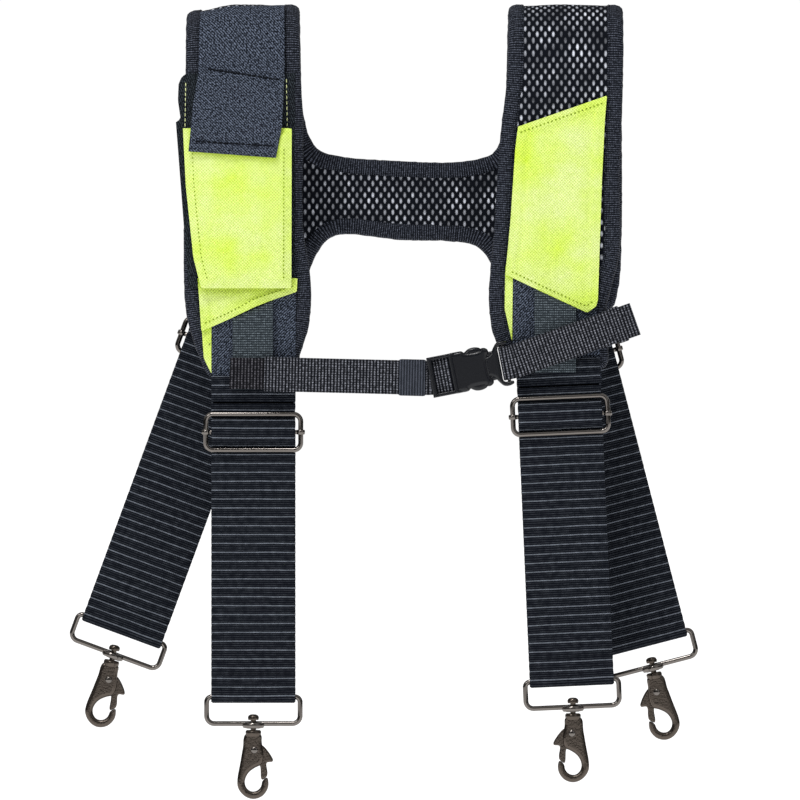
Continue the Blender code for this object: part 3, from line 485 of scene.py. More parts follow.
def smooth(points, closed=True, steps=10):
    """A centripetal Catmull-Rom curve through the points."""
    points = np.array(points, float)
    count = len(points)
    found = []
    for index in range(count if closed else count - 1):
        near = [index + k for k in (-1, 0, 1, 2)]
        near = [k % count if closed else min(max(k, 0), count - 1) for k in near]
        corners = points[near]
        knots = [0.0]
        for one, two in zip(corners, corners[1:]):
            knots.append(knots[-1] + max(np.linalg.norm(two - one), 1e-7) ** 0.5)
        for step in range(steps):
            at = knots[1] + (knots[2] - knots[1]) * step / steps
            found.append(curve_point(corners, knots, at))
    if not closed:
        found.append(points[-1])
    return np.array(found)


def curve_point(corners, knots, at):
    """Barry and Goldman's pyramid for one point of the curve."""
    row = list(corners)
    for spans in (((0, 1), (1, 2), (2, 3)), ((0, 2), (1, 3)), ((1, 2),)):
        following = []
        for k, (low, high) in enumerate(spans):
            share = (at - knots[low]) / (knots[high] - knots[low])
            following.append(row[k] * (1 - share) + row[k + 1] * share)
        row = following
    return row[0]


def inward(points):
    """Unit normals of a closed loop, pointing in."""
    ways = np.roll(points, -1, axis=0) - np.roll(points, 1, axis=0)
    ways /= np.linalg.norm(ways, axis=1)[:, None]
    following = np.roll(points, -1, axis=0)
    area = (points[:, 0] * following[:, 1] - following[:, 0] * points[:, 1]).sum()
    normals = np.stack([-ways[:, 1], ways[:, 0]], axis=1)
    return normals * math.copysign(1, area)


def edge_distance(points, loop):
    """How far each point is from a closed polyline."""
    best = np.full(len(points), 1e9)
    for one, two in zip(loop, np.roll(loop, -1, axis=0)):
        way = two - one
        share = ((points - one) @ way / max(way @ way, 1e-18)).clip(0, 1)
        best = np.minimum(best, np.linalg.norm(points - one - share[:, None] * way, axis=1))
    return best


def within(points, loop):
    """Whether each point lies inside a closed polyline."""
    inside = np.zeros(len(points), bool)
    for one, two in zip(loop, np.roll(loop, -1, axis=0)):
        crosses = (one[1] > points[:, 1]) != (two[1] > points[:, 1])
        rise = two[1] - one[1]
        at = one[0] + (points[:, 1] - one[1]) * (two[0] - one[0]) / (rise if rise else 1e-12)
        inside ^= crosses & (points[:, 0] < at)
    return inside


def wrap(across, along, out):
    """The point at this place on the yoke, out from the middle of its thickness."""
    side = -1 if along >= 0 else 1
    angle = min(abs(along), QUARTER_FOLD) / MID_RADIUS
    radius = MID_RADIUS + out
    drop = max(abs(along) - QUARTER_FOLD, 0)
    drop += CORNER_SAG * eased((-0.098 - across) / 0.030) * (1 - eased(abs(along) / 0.07))
    up = radius * math.cos(angle) - FOLD_RADIUS - drop
    return Vector((across, side * radius * math.sin(angle), up))


def wrap_mesh(mesh):
    """Carries a flat mesh over the fold. That mirrors it, so its faces are turned back."""
    for vertex in mesh.vertices:
        vertex.co = wrap(*vertex.co)
    mesh.flip_normals()
    return mesh


# ---- objects -------------------------------------------------------------------------------------
def linked(name, data):
    obj = bpy.data.objects.new(name, data)
    bpy.context.scene.collection.objects.link(obj)
    return obj


def add_object(name, mesh, finish, slot, body=None, nodes=(), smooth_angle=180):
    """A piece of the visual model. A piece without a body is left unparented, and its caller bakes
    its transform.
    """
    obj = linked(name, mesh)
    mesh.materials.clear()
    mesh.materials.append(FINISH[finish])
    mesh.shade_smooth()
    if smooth_angle < 180:
        mesh.set_sharp_from_angle(angle=math.radians(smooth_angle))
    if body:
        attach(obj, body)
    if nodes:
        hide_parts(*nodes)
    return obj


def finished(bm):
    """The mesh made from a bmesh, which is then freed."""
    mesh = bpy.data.meshes.new("shape")
    bm.to_mesh(mesh)
    bm.free()
    return mesh


def mesh_of(points, faces, flat=None):
    """A mesh, with its flat places as UVs if they are given."""
    mesh = bpy.data.meshes.new("shape")
    mesh.from_pydata([tuple(map(float, p)) for p in points], [], [list(map(int, f)) for f in faces])
    if flat is not None:
        layer = mesh.uv_layers.new(name="flat").data
        for loop in mesh.loops:
            layer[loop.index].uv = flat[loop.vertex_index][:2]
    mesh.validate()
    return mesh


def evaluated(obj):
    graph = bpy.context.evaluated_depsgraph_get()
    return bpy.data.meshes.new_from_object(obj.evaluated_get(graph))


def outward(mesh):
    bm = bmesh.new()
    bm.from_mesh(mesh)
    bmesh.ops.recalc_face_normals(bm, faces=bm.faces)
    if bm.calc_volume(signed=True) < 0:
        bmesh.ops.reverse_faces(bm, faces=bm.faces)
    bm.to_mesh(mesh)
    bm.free()
    return mesh


def joined(meshes):
    """Several meshes as one."""
    bm = bmesh.new()
    for mesh in meshes:
        bm.from_mesh(mesh)
    return finished(bm)


# ---- yoke ----------------------------------------------------------------------------------------
def flat_pad():
    """The padded yoke in the flat, blown up by a cloth simulation with its edge pinned."""
    edge, _ = resampled(smooth(YOKE_EDGE), 0.003)
    core = edge + inward(edge) * PAD_INSET
    bm = bmesh.new()
    face = bm.faces.new([bm.verts.new((x, y, -PAD_HALF)) for x, y in core])
    top = bmesh.ops.extrude_face_region(bm, geom=[face])["geom"]
    raised = [v for v in top if isinstance(v, bmesh.types.BMVert)]
    bmesh.ops.translate(bm, verts=raised, vec=(0, 0, 2 * PAD_HALF))
    bmesh.ops.recalc_face_normals(bm, faces=bm.faces)
    obj = linked("pad", finished(bm))
    remesh = obj.modifiers.new("remesh", "REMESH")
    remesh.mode = "VOXEL"
    remesh.voxel_size = 0.0036
    obj.data = evaluated(obj)
    obj.modifiers.clear()
    inflate(obj, core)
    subdivision = obj.modifiers.new("round", "SUBSURF")
    subdivision.levels = 1
    mesh = evaluated(obj)
    bpy.data.objects.remove(obj)
    for vertex in mesh.vertices:
        x, y, z = vertex.co
        size = 0.00045 * noise.noise(Vector((x, y, 0)) * 60)
        size += 0.00022 * noise.noise(Vector((x, y, 3)) * 190)
        if CREASE_SPAN[0] < y < CREASE_SPAN[1]:
            size -= CREASE_DEPTH * math.exp(-(((x - CREASE_ACROSS) / CREASE_WIDTH) ** 2))
        vertex.co.z += size if z > 0 else -size
    layer = mesh.uv_layers.new(name="flat").data
    for loop in mesh.loops:
        layer[loop.index].uv = mesh.vertices[loop.vertex_index].co[:2]
    return mesh


def inflate(obj, core):
    """Runs the cloth for a moment and caps how far each point has moved."""
    start = np.array([v.co for v in obj.data.vertices])
    held = edge_distance(start[:, :2], core) < PINNED_BORDER
    group = obj.vertex_groups.new(name="held")
    group.add(np.flatnonzero(held).tolist(), 1.0, "REPLACE")
    cloth = obj.modifiers.new("cloth", "CLOTH")
    cloth.settings.use_pressure = True
    cloth.settings.uniform_pressure_force = 4
    cloth.settings.vertex_group_mass = "held"
    cloth.settings.effector_weights.gravity = 0
    cloth.point_cache.frame_start = 1
    cloth.point_cache.frame_end = CLOTH_FRAMES
    for step in range(1, CLOTH_FRAMES + 1):
        bpy.context.scene.frame_set(step)
    blown = evaluated(obj)
    bpy.context.scene.frame_set(1)
    moved = np.array([v.co for v in blown.vertices]) - start
    length = np.linalg.norm(moved, axis=1)
    factor = np.where(length > PAD_RISE, PAD_RISE / np.maximum(length, 1e-9), 1.0)
    obj.modifiers.clear()
    obj.vertex_groups.clear()
    for vertex, place in zip(obj.data.vertices, start + moved * factor[:, None]):
        vertex.co = place


def flat_binding():
    """The tape sewn round the edge, as a D section swept along the outline in the flat."""
    loop, lengths = resampled(smooth(YOKE_EDGE), 0.0016)
    normals = inward(loop)
    section = [
        (BINDING_SHOWN, -BINDING_HALF + 0.0010), (BINDING_SHOWN - 0.0005, -BINDING_HALF),
        (0.0045, -BINDING_HALF - 0.0002), (0.0018, -BINDING_HALF + 0.0006), (0.0003, -0.0024),
        (-0.0003, 0), (0.0003, 0.0024), (0.0018, BINDING_HALF - 0.0006),
        (0.0045, BINDING_HALF + 0.0002), (BINDING_SHOWN - 0.0005, BINDING_HALF),
        (BINDING_SHOWN, BINDING_HALF - 0.0010),
    ]
    points = []
    flat = []
    girth = girth_of(section)
    for (x, y), (nx, ny), at in zip(loop, normals, lengths):
        ruffle = 1 + 0.12 * noise.noise(Vector((at * 160, 0, 0)))
        ruffle += 0.12 * noise.noise(Vector((at * 430, 5, 0)))
        edge = 0.0007 * noise.noise(Vector((at * 120, 9, 0)))
        for index, (u, z) in enumerate(section):
            u = u + edge * (u > 0.004) + 0.0022 * (1 - ruffle)
            points.append((x + nx * u, y + ny * u, z * ruffle))
            flat.append((girth[index], at))
    return mesh_of(points, tube_faces(len(loop), len(section)), flat), loop, normals


def girth_of(section):
    """The length along a polyline at each of its points."""
    return np.concatenate([[0], np.cumsum([math.dist(a, b) for a, b in zip(section, section[1:])])])


def tube_faces(rings, around, close_ends=False, closed=True):
    """Faces between rings of points, and over the first and the last ring if they are closed."""
    faces = []
    for ring in range(rings if closed else rings - 1):
        near = ring * around
        far = (ring + 1) % rings * around
        for k in range(around):
            other = (k + 1) % around
            faces.append((near + k, far + k, far + other, near + other))
    if close_ends:
        faces.append(tuple(reversed(range(around))))
        faces.append(tuple((rings - 1) * around + k for k in range(around)))
    return faces


PAD = flat_pad()
BINDING, BINDING_LOOP, BINDING_NORMALS = flat_binding()


def surface(*meshes):
    """A tree that finds the height of flat meshes."""
    whole = joined(meshes)
    points = [v.co[:] for v in whole.vertices]
    return BVHTree.FromPolygons(points, [p.vertices[:] for p in whole.polygons])


GROUND = surface(PAD, BINDING)


def ground(x, y):
    """The height of the pad or its binding here, and the pad's own beyond them."""
    hit = GROUND.ray_cast(Vector((x, y, 0.05)), Vector((0, 0, -1)))[0]
    return max(hit.z, LEAST_GROUND) if hit else PAD_HALF


# ---- sheets --------------------------------------------------------------------------------------
def cut_sheet(outline, spacing):
    """Triangulates the inside of a flat outline. Returns its points, faces and edge loop."""
    edge, _ = resampled(outline, spacing)
    low, high = edge.min(0), edge.max(0)
    xs, ys = np.meshgrid(np.arange(low[0], high[0], spacing), np.arange(low[1], high[1], spacing))
    grid = np.stack([xs.ravel(), ys.ravel()], axis=1)
    grid = grid[within(grid, edge)]
    grid = grid[edge_distance(grid, edge) > spacing * 0.6]
    everything = np.vstack([edge, grid])
    found = delaunay_2d_cdt([Vector(p) for p in everything], [], [list(range(len(edge)))], 1, 1e-7)
    return np.array([p[:] for p in found[0]]), found[2], edge


def sheet_mesh(outline, height, thickness, spacing=0.0022):
    """A sheet in the flat whose top is at the given height, as a closed skin of this thickness."""
    points, faces, edge = cut_sheet(outline, spacing)
    reach = edge_distance(points, edge)
    top = [(x, y, height(x, y, d)) for (x, y), d in zip(points, reach)]
    low = [(x, y, z - thickness) for x, y, z in top]
    count = len(top)
    skin = [tuple(f) for f in faces]
    skin += [tuple(count + k for k in reversed(f)) for f in faces]
    used = [side for f in faces for side in zip(f, list(f[1:]) + [f[0]])]
    both = set(used)
    for one, two in used:
        if (two, one) not in both:
            skin.append((two, one, count + one, count + two))
    return outward(mesh_of(top + low, skin, top + low))


def declare(outline):
    loop = np.array(outline)


def capsule(way, side, up, length, radius):
    """The points and faces of one stitch about the origin."""
    rings = [(-0.5, 0.0), (-0.42, 0.7), (0.0, 1.0), (0.42, 0.7), (0.5, 0.0)]
    points = []
    for at, size in rings:
        for k in range(6):
            angle = math.pi * k / 3
            offset = side * math.cos(angle) + up * math.sin(angle)
            points.append(way * (at * length) + offset * (size * radius + 0.00002))
    return points, tube_faces(len(rings), 6, True, False)


def stitches(name, paths, height, finish, pitch, length, radius=0.0003, body="yoke"):
    """Rows of thread on a surface in the flat, as one object that is then wrapped."""
    points = []
    faces = []
    for path in paths:
        places, _ = resampled(path, pitch, closed=False)
        for one, two in zip(places, places[1:]):
            middle = (one + two) / 2
            way = Vector((two - one).tolist()).to_3d().normalized()
            side = Vector((-way.y, way.x, 0))
            centre = Vector((*middle, height(*middle)))
            shape, around = capsule(way, side, Vector((0, 0, 1)), length, radius)
            start = len(points)
            points += [centre + p for p in shape]
            faces += [tuple(start + k for k in face) for face in around]
    mesh = wrap_mesh(outward(mesh_of(points, faces)))
    return add_object(name, mesh, finish, "binding", body)


def laid_panel(name, outline, finish, slot, lift, hem, nodes=()):
    """A panel sewn onto the pad, with a folded hem of this width round its edge if it has one."""

    def height(x, y, reach):
        top = ground(x, y) + lift + 0.0002 * noise.noise(Vector((x, y, 1)) * 130)
        if hem:
            swell = 0.4 + noise.noise(Vector((x, y * 0.7, 6)) * 48)
            top += HEM_FOLD * (1 - eased((reach - hem) / 0.0012))
            top += max(PANEL_BILLOW * eased(reach / 0.012) * swell, 0)
        return top

    mesh = sheet_mesh(outline, height, 0.0007, 0.0014 if hem else 0.0022)
    return add_object(name, wrap_mesh(mesh), finish, slot, "yoke", nodes, 50)


def ground_top(x, y):
    return ground(x, y) + 0.0001


def on_panel(x, y):
    return ground(x, y) + SHEET_LIFT + 0.0024


def on_backing(x, y):
    return ground(x, y) + SHEET_LIFT + 0.0002


def make_yoke():
    covers = ("yoke_foam", "yoke_outer_cover", "yoke_inner_cover")
    pad = add_object("yoke_pad", wrap_mesh(PAD), "air_mesh", "air_mesh", "yoke", covers)
    add_object("edge_tape", wrap_mesh(BINDING), "binding", "binding", "yoke", ("edge_binding",))
    path = BINDING_LOOP + BINDING_NORMALS * (BINDING_SHOWN - 0.0014)
    row = np.vstack([path, path[:1]])
    stitches("edge_stitching", [row], ground_top, "dark_thread", 0.0036, 0.0021, 0.00024)


def make_panels():
    panels = (
        ("left_panel", LEFT_HI_VIS, "hi_vis", "hi_vis", "left_hi_vis_panel", 0.0042),
        ("right_panel", RIGHT_HI_VIS, "hi_vis", "hi_vis", "right_hi_vis_panel", 0.0052),
        ("left_tab", LEFT_TWILL, "tab_twill", "twill", "left_twill_tab", 0.0),
        ("right_tab", RIGHT_TWILL, "tab_twill", "twill", "right_twill_tab", 0.0),
        ("pocket_backing", POCKET_BACK, "fleece", "twill", "pocket_back", 0.0),
    )
    for name, outline, finish, slot, node, hem in panels:
        lift = SHEET_LIFT + (0.0009 if hem else 0)
        obj = laid_panel(name, outline, finish, slot, lift, hem, (node,))
        if name in STRIPS:
            laid_panel(f"{name}_strip", STRIPS[name], finish, slot, SHEET_LIFT, 0.0)
        declare(outline)
    stitches("panel_stitching", PANEL_ROWS, on_panel, "olive_thread", 0.0024, 0.0011)
    stitches("backing_stitching", BACKING_ROWS, on_backing, "pale_thread", 0.0031, 0.0022)


def make_rail(name, span, tops, node):
    """Webbing that the chest strap slides on, from under the panel's slanted hem."""
    left, right, end = span
    end -= RAIL_HIDDEN
    corners = [(left, tops[0]), (right, tops[1]), (right, end), (left, end)]

    def height(x, y, reach):
        start = tops[0] + (tops[1] - tops[0]) * (x - left) / (right - left)
        into = min(y - start, end - y)
        lift = RAIL_BASE + (RAIL_RAISED - RAIL_BASE) * eased(into / RAIL_RAMP) + CHEST_WEBBING
        return lift - 0.0004 * (1 - eased(reach / 0.0012))

    mesh = wrap_mesh(sheet_mesh(corners, height, CHEST_WEBBING, 0.0015))
    add_object(name, mesh, "rail_webbing", "rail_webbing", "yoke", (node,), 60)


# ---- pocket --------------------------------------------------------------------------------------
def pocket_height(x, y, reach):
    """The pocket's front: proud of its backing, rounded at its edges and fullest in the middle."""
    fall = 0.0024 * (1 - eased(reach / 0.006)) + 0.0016 * eased((y - 0.135) / 0.045)
    ripple = 0.0009 * noise.noise(Vector((x, y, 4)) * 55)
    return POCKET_HIGH - fall + ripple + 0.0012 * eased(reach / 0.026)


def on_pocket(x, y):
    return pocket_height(x, y, 0.0045) + 0.0001


def make_pocket():
    front = wrap_mesh(sheet_mesh(POCKET_FRONT, pocket_height, 0.0009))
    obj = add_object("pocket_front", front, "hi_vis", "hi_vis", "yoke", ("pocket_body",), 50)
    gusset = add_object("pocket_gusset", gusset_shape(), "fleece", "twill", "yoke", (), 60)
    declare(POCKET_FRONT)
    stitches("pocket_seam", POCKET_ROWS, on_pocket, "olive_thread", 0.0024, 0.0009)
    make_flap()


def gusset_shape():
    """The pocket's black side walls, from its front down to the backing. Its mouth has none."""
    loop, lengths = resampled(POCKET_FRONT, 0.003)
    normals = inward(loop)
    keep = [k for k in range(len(loop)) if loop[k][1] > POCKET_MOUTH]
    start = next(k for k in keep if (k - 1) % len(loop) not in keep)
    order = [(start + k) % len(loop) for k in range(len(keep))]
    rows = ((0.0006, 0.0), (0.0016, 0.4), (0.0016, 0.8), (0.0007, 1.0))
    points = []
    flat = []
    for index in order:
        (x, y), (nx, ny) = loop[index], normals[index]
        reach = pocket_height(x, y, 0.0) - 0.0012 - GUSSET_FOOT
        for inset_by, share in rows + tuple((i + 0.0007, z) for i, z in reversed(rows)):
            z = GUSSET_FOOT + share * reach
            points.append((x + nx * inset_by, y + ny * inset_by, z))
            flat.append((lengths[index], z))
    return wrap_mesh(outward(mesh_of(points, tube_faces(len(order), 8, True, False), flat)))


def flap_seam(x):
    """Where the slanting seam across the flap lies, along the pad."""
    return 0.0492 + (x + 0.1165) * 0.16


def flap_hem(x):
    """Where the row of stitching above the flap's lower edge lies, along the pad."""
    return 0.0922 + (x + 0.1245) * 0.06


def flap_height(x, y, reach):
    """The flap: from the pad up to the pocket's mouth and over its front, with two sewn dips."""
    along, out = FLAP_HINGE
    rise = eased((y - along + 0.004) / (FLAP_OVER - along + 0.004))
    over = POCKET_HIGH + 0.0016 + 0.0014 * eased((y - 0.084) / 0.014)
    over += 0.0007 * eased((y - 0.088) / 0.01) * noise.noise(Vector((x * 60, 0, 2)))
    edge = 0.0007 * eased((y - flap_hem(x)) / 0.0007)
    dip = 0.0012 * math.exp(-(((y - flap_seam(x)) / 0.0012) ** 2))
    dip += 0.0013 * math.exp(-(((y - flap_hem(x)) / 0.0012) ** 2))
    soft = 0.0005 * noise.noise(Vector((x, y, 8)) * 75) - 0.0006 * (1 - eased(reach / 0.002))
    base = max(ground(x, y) + 0.0022, out)
    return base + (over - base) * rise + edge - dip + soft


def on_flap(x, y):
    return flap_height(x, y, 0.01) + 0.0005


def make_flap():
    mesh = wrap_mesh(sheet_mesh(FLAP_SHEET, flap_height, FLAP_THICKNESS, 0.0011))
    nodes = ("pocket_flap_base", "pocket_flap")
    obj = add_object("flap_cloth", mesh, "flap_twill", "twill", None, nodes, 50)
    along, out = FLAP_HINGE
    wrap(-0.095, along - 0.003, out)
    wrap(-0.095, along + 0.003, out)
    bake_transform(obj)
    declare(FLAP_SHEET)
    rows = (
        ("flap_hem", flap_hem, (-0.1225, -0.0765), "flap"),
        ("flap_seam", flap_seam, (-0.1155, -0.0735), "yoke"),
    )
    for name, line, ends, body in rows:
        row = [(x, line(x)) for x in ends]
        stitches(name, [row], on_flap, "dark_thread", 0.0034, 0.0031, 0.0005, body)


# ---- chest strap ---------------------------------------------------------------------------------
def bent_line(start, tilt_before, tilt_after, bend_at, bend_length):
    """A map from (along, across, out) to the frame for a band whose tilt changes over a bend."""

    def direction(along):
        share = min(max((along - bend_at) / bend_length, 0), 1)
        return math.radians(tilt_before + (tilt_after - tilt_before) * share)

    def centre(along):
        if along <= bend_at:
            angle = math.radians(tilt_before)
            return start[0] + along * math.cos(angle), start[1] + along * math.sin(angle)
        x, z = centre(bend_at)
        stretch = min(along - bend_at, bend_length)
        for k in range(BEND_STEPS):
            angle = direction(bend_at + stretch * (k + 0.5) / BEND_STEPS)
            x += stretch / BEND_STEPS * math.cos(angle)
            z += stretch / BEND_STEPS * math.sin(angle)
        rest = max(along - bend_at - bend_length, 0)
        return x + rest * math.cos(direction(along)), z + rest * math.sin(direction(along))

    def mapped(along, across, out):
        x, z = centre(along)
        angle = direction(along)
        x -= across * math.sin(angle)
        z += across * math.cos(angle)
        return Vector((x, -(MID_RADIUS + out), z))

    return mapped


def arc(centre, radius, start, end, steps):
    """Points of a circle's arc between two angles in degrees."""
    angles = [math.radians(start + (end - start) * k / steps) for k in range(steps + 1)]
    return [(centre[0] + radius * math.cos(t), centre[1] + radius * math.sin(t)) for t in angles]


def ribbon(path, width, thickness, place, spacing=0.0012, scallop=0.0, shift=0.0):
    """Webbing swept along an (along, out) path. place maps (along, across, out) to the frame."""
    points2d, lengths = resampled(path, spacing, closed=False)
    ways = np.gradient(points2d, axis=0)
    ways /= np.linalg.norm(ways, axis=1)[:, None]
    half, deep = width / 2, thickness / 2
    columns = (-1, -0.965, -0.6, -0.2, 0.2, 0.6, 0.965, 1)
    points = []
    flat = []
    for (along, out), (wx, wy), at in zip(points2d, ways, lengths):
        side = (-wy, wx)
        reach = half + scallop * abs(math.sin(math.pi * (at + shift) / LEG_RIB))
        for sign in (1, -1):
            for column in columns if sign > 0 else tuple(reversed(columns)):
                rise = deep * sign * (0.35 if abs(column) == 1 else 1)
                points.append(place(along + side[0] * rise, column * reach, out + side[1] * rise))
                flat.append((column * half, at + shift))
    around = 2 * len(columns)
    return outward(mesh_of(points, tube_faces(len(lengths), around, True, False), flat))


def sleeve(mapped, ends, low, high):
    """A keeper: a tube round the strap between two places along it and two heights."""
    half = CHEST_WIDTH / 2 + GAP - KEEPER_CORNER
    low += KEEPER_CORNER
    high -= KEEPER_CORNER
    section = []
    for x, y, start in ((half, high, 0), (-half, high, 90), (-half, low, 180), (half, low, 270)):
        section += arc((x, y), KEEPER_CORNER + KEEPER_WALL, start, start + 90, 4)
    rows = np.linspace(ends[0], ends[1], 14)
    girth = girth_of(section)
    points = []
    flat = []
    for index, along in enumerate(rows):
        pinch = 0.0003 if index in (0, len(rows) - 1) else 0.0
        shrink = 1 - pinch / (CHEST_WIDTH / 2 + GAP)
        for (across, out), at in zip(section, girth):
            points.append(mapped(along, across * shrink, out))
            flat.append((at, along))
    return outward(mesh_of(points, tube_faces(len(rows), len(section), True, False), flat))


def chest_piece(name, mesh, finish, slot, *nodes):
    return add_object(name, mesh, finish, slot, "yoke", nodes)


def make_left_chest_strap():
    left, right = LEFT_RAIL[:2]
    start_x = left - 0.0009
    span = BUCKLE_PLACE[0] - start_x
    bend = (LEFT_TILT, BUCKLE_TILT, span - 0.0014, 0.0032)
    ahead = bent_line((0, 0), *bend)(span, 0, 0)
    line = bent_line((start_x, BUCKLE_PLACE[2] - ahead.z), *bend)
    reach = span + (span - ahead.x) + CROSSBAR
    back = RAIL_BASE + CHEST_WEBBING / 2
    turn = (CHEST_LAYER - back) / 2
    rail_end = right - start_x
    path = [(0.052, CHEST_UNDER), (rail_end + 0.006, CHEST_UNDER), (rail_end + 0.001, back)]
    path += arc((turn, (CHEST_LAYER + back) / 2), turn, 270, 90, 8)
    path += [(0.014, CHEST_LAYER), (0.030, CHEST_LAYER)]
    loop = ribbon(path, CHEST_WIDTH - 0.0012, CHEST_WEBBING, line, 0.001)
    # The loop wears the darker copy of the chest webbing: painted shade beside the doubled layer.
    chest_piece("chest_strap_left_loop", loop, "loop_webbing", "chest_webbing")
    above = CHEST_LAYER + CHEST_WEBBING + 0.0002
    path = [(0.0196, above - 0.0001), (0.0204, above), (0.031, above), (0.037, CHEST_LAYER + 0.0002)]
    path += [(0.09, CHEST_LAYER + 0.0001), (reach - 0.0075, CHEST_LAYER)]
    path += arc((reach, CROSSBAR_OUT), BAR_TURN, 90, -90, 8)
    path += [(reach - 0.0075, CHEST_UNDER), (0.056, CHEST_UNDER)]
    layer = ribbon(path, CHEST_WIDTH + 0.0004, CHEST_WEBBING, line, 0.001)
    chest_piece("chest_strap_left_webbing", layer, *CHEST_LOOK, "chest_strap_left")
    low = CHEST_UNDER - CHEST_WEBBING / 2 - GAP
    high = CHEST_LAYER + CHEST_WEBBING / 2 + GAP
    keeper = sleeve(line, (span - 0.0182, span - 0.0027), low, high)
    chest_piece("keeper_left", keeper, "elastic", "elastic", "chest_keeper_left")


def buckle_world():
    turn = Matrix.Rotation(-math.radians(BUCKLE_TILT), 4, "Y")
    return Matrix.Translation((BUCKLE_PLACE[0], -MID_RADIUS, BUCKLE_PLACE[2])) @ turn


def make_right_chest_strap():
    start = buckle_world() @ Vector((MALE_BAR, 0, 0))
    line = bent_line((start.x, start.z), BUCKLE_TILT, RIGHT_TILT, 0.001, 0.006)
    back = RAIL_BASE + CHEST_WEBBING / 2
    slant = math.cos(math.radians(RIGHT_TILT))
    lean = CHEST_WIDTH / 2 * math.tan(math.radians(RIGHT_TILT))
    left = (RIGHT_RAIL[0] - start.x) / slant - lean - 0.002
    right = (RIGHT_RAIL[1] - start.x) / slant + lean + 0.001
    turn = (CHEST_LAYER - back) / 2
    tail = CHEST_LAYER + CHEST_WEBBING + GAP
    path = [(0.0798, tail), (0.014, tail), (0.007, MALE_BAR_OUT + BAR_TURN - 0.0003)]
    path += arc((0, MALE_BAR_OUT), BAR_TURN, 90, 270, 8)
    path += [(0.006, 0.0091), (0.0095, CHEST_LAYER - 0.0001)]
    path += arc((right, (CHEST_LAYER + back) / 2), turn, 90, -90, 8)
    path += [(left, back), (left - 0.004, 0.0088), (left - 0.009, 0.0088)]
    strap = ribbon(path, CHEST_WIDTH, CHEST_WEBBING, line, 0.001)
    chest_piece("chest_strap_right_webbing", strap, *CHEST_LOOK, "chest_strap_right")
    reach = CHEST_WEBBING / 2 + GAP
    keeper = sleeve(line, (0.0665, 0.0725), tail - reach, tail + reach)
    chest_piece("keeper_right", keeper, *CHEST_LOOK, "chest_keeper_right")


# ---- buckle --------------------------------------------------------------------------------------
# Start, end, left, right, lowest and highest face and radius of the edges
FEMALE_BARS = (
    (0.0004, 0.0165, 0.00985, 0.0119, 0.0090, 0.0143, 0.0006),
    (0.0004, 0.0165, -0.0119, -0.00985, 0.0090, 0.0143, 0.0006),
    (-0.0002, 0.0026, -0.0119, 0.0119, 0.0116, 0.0146, 0.0010),
    (0.0126, 0.0150, -0.0116, 0.0116, 0.0128, 0.0150, 0.0009),
)
TONGUE = (0.0200, 0.0370, -0.0018, 0.0018, 0.0094, 0.0114, 0.0004)
# The sprung arms' lowest and highest face, and the radius of their edges
ARM = (0.0078, 0.0134, 0.0017)
# Outlines as (along, across). The first two are halves, closed by their mirror images
FEMALE_BODY = mm([
    (12.7, 11.4), (13.4, 11.9), (17, 12), (20.8, 11.8), (22.2, 10.7), (26.5, 10.1),
    (31, 10.4), (32.2, 11.3), (34.4, 11.2), (35.9, 10), (36.2, 8.3), (35.2, 6.2), (34.5, 3.5),
])
MALE_BASE = mm([
    (33.0, 5.2), (35.5, 6.4), (37.8, 8.1), (39.6, 10.6), (41.4, 12.6), (43.6, 13.3),
    (46.4, 13.0), (47.8, 12.1), (47.6, 10.9), (45.5, 10.6), (42.8, 10.5), (41.9, 9.6), (41.8, 5),
])
PRONG = mm([
    (39.9, 5.8), (40.2, 7.0), (39.6, 8.2), (36, 8.7), (33.2, 9.7), (31.6, 11.7), (28.6, 12.7),
    (25, 12.4), (22.4, 10.9), (20.2, 9), (19.2, 7.4), (20.2, 6.1), (26, 5.9), (33, 5.7),
])


def buckle_plate(outline, low, high, radius, curved=True):
    """A rounded plate of the buckle from an (along, across) outline, between two heights."""
    flipped = [(along, -across) for along, across in outline]
    mesh = rounded_plate(flipped, high - low, radius, 5, 0.0004, curved)
    return shifted(mesh, 0, -(low + high) / 2, 0)


def mirrored(half):
    return half + [(along, -across) for along, across in reversed(half)]


def buckle_bar(start, end, left, right, low, high, radius):
    """A rounded bar of the buckle, from its two ends along, its two sides across and its heights."""
    outline = [(start, left), (end, left), (end, right), (start, right)]
    return buckle_plate(outline, low, high, radius, False)


def buckle_rod(half, along, out):
    profile = [(0, half), (0.0010, half), (0.0010, -half), (0, -half)]
    return shifted(turned(profile, 16), along, -out, 0)


def make_buckle():
    world = buckle_world()
    female = [buckle_plate(mirrored(FEMALE_BODY), 0.0065, 0.0144, 0.0022)]
    female += [buckle_bar(*bar) for bar in FEMALE_BARS]
    female.append(buckle_rod(0.0107, CROSSBAR, CROSSBAR_OUT))
    male = [buckle_plate(mirrored(MALE_BASE), 0.0074, 0.0140, 0.0019)]
    male.append(buckle_bar(*TONGUE))
    male.append(buckle_rod(0.0108, MALE_BAR, MALE_BAR_OUT))
    lower = [(along, -across) for along, across in PRONG]
    pieces = (
        ("buckle_socket", female, "yoke", "buckle_female"),
        ("buckle_plug", male, "yoke", "buckle_male"),
        ("upper_spring_arm", [buckle_plate(PRONG, *ARM)], "upper_latch", "upper_prong"),
        ("lower_spring_arm", [buckle_plate(lower, *ARM)], "lower_latch", "lower_prong"),
    )
    for name, parts, body, node in pieces:
        mesh = joined(parts)
        mesh.transform(world)
        add_object(name, mesh, "buckle", "buckle", body, (node,), 40)


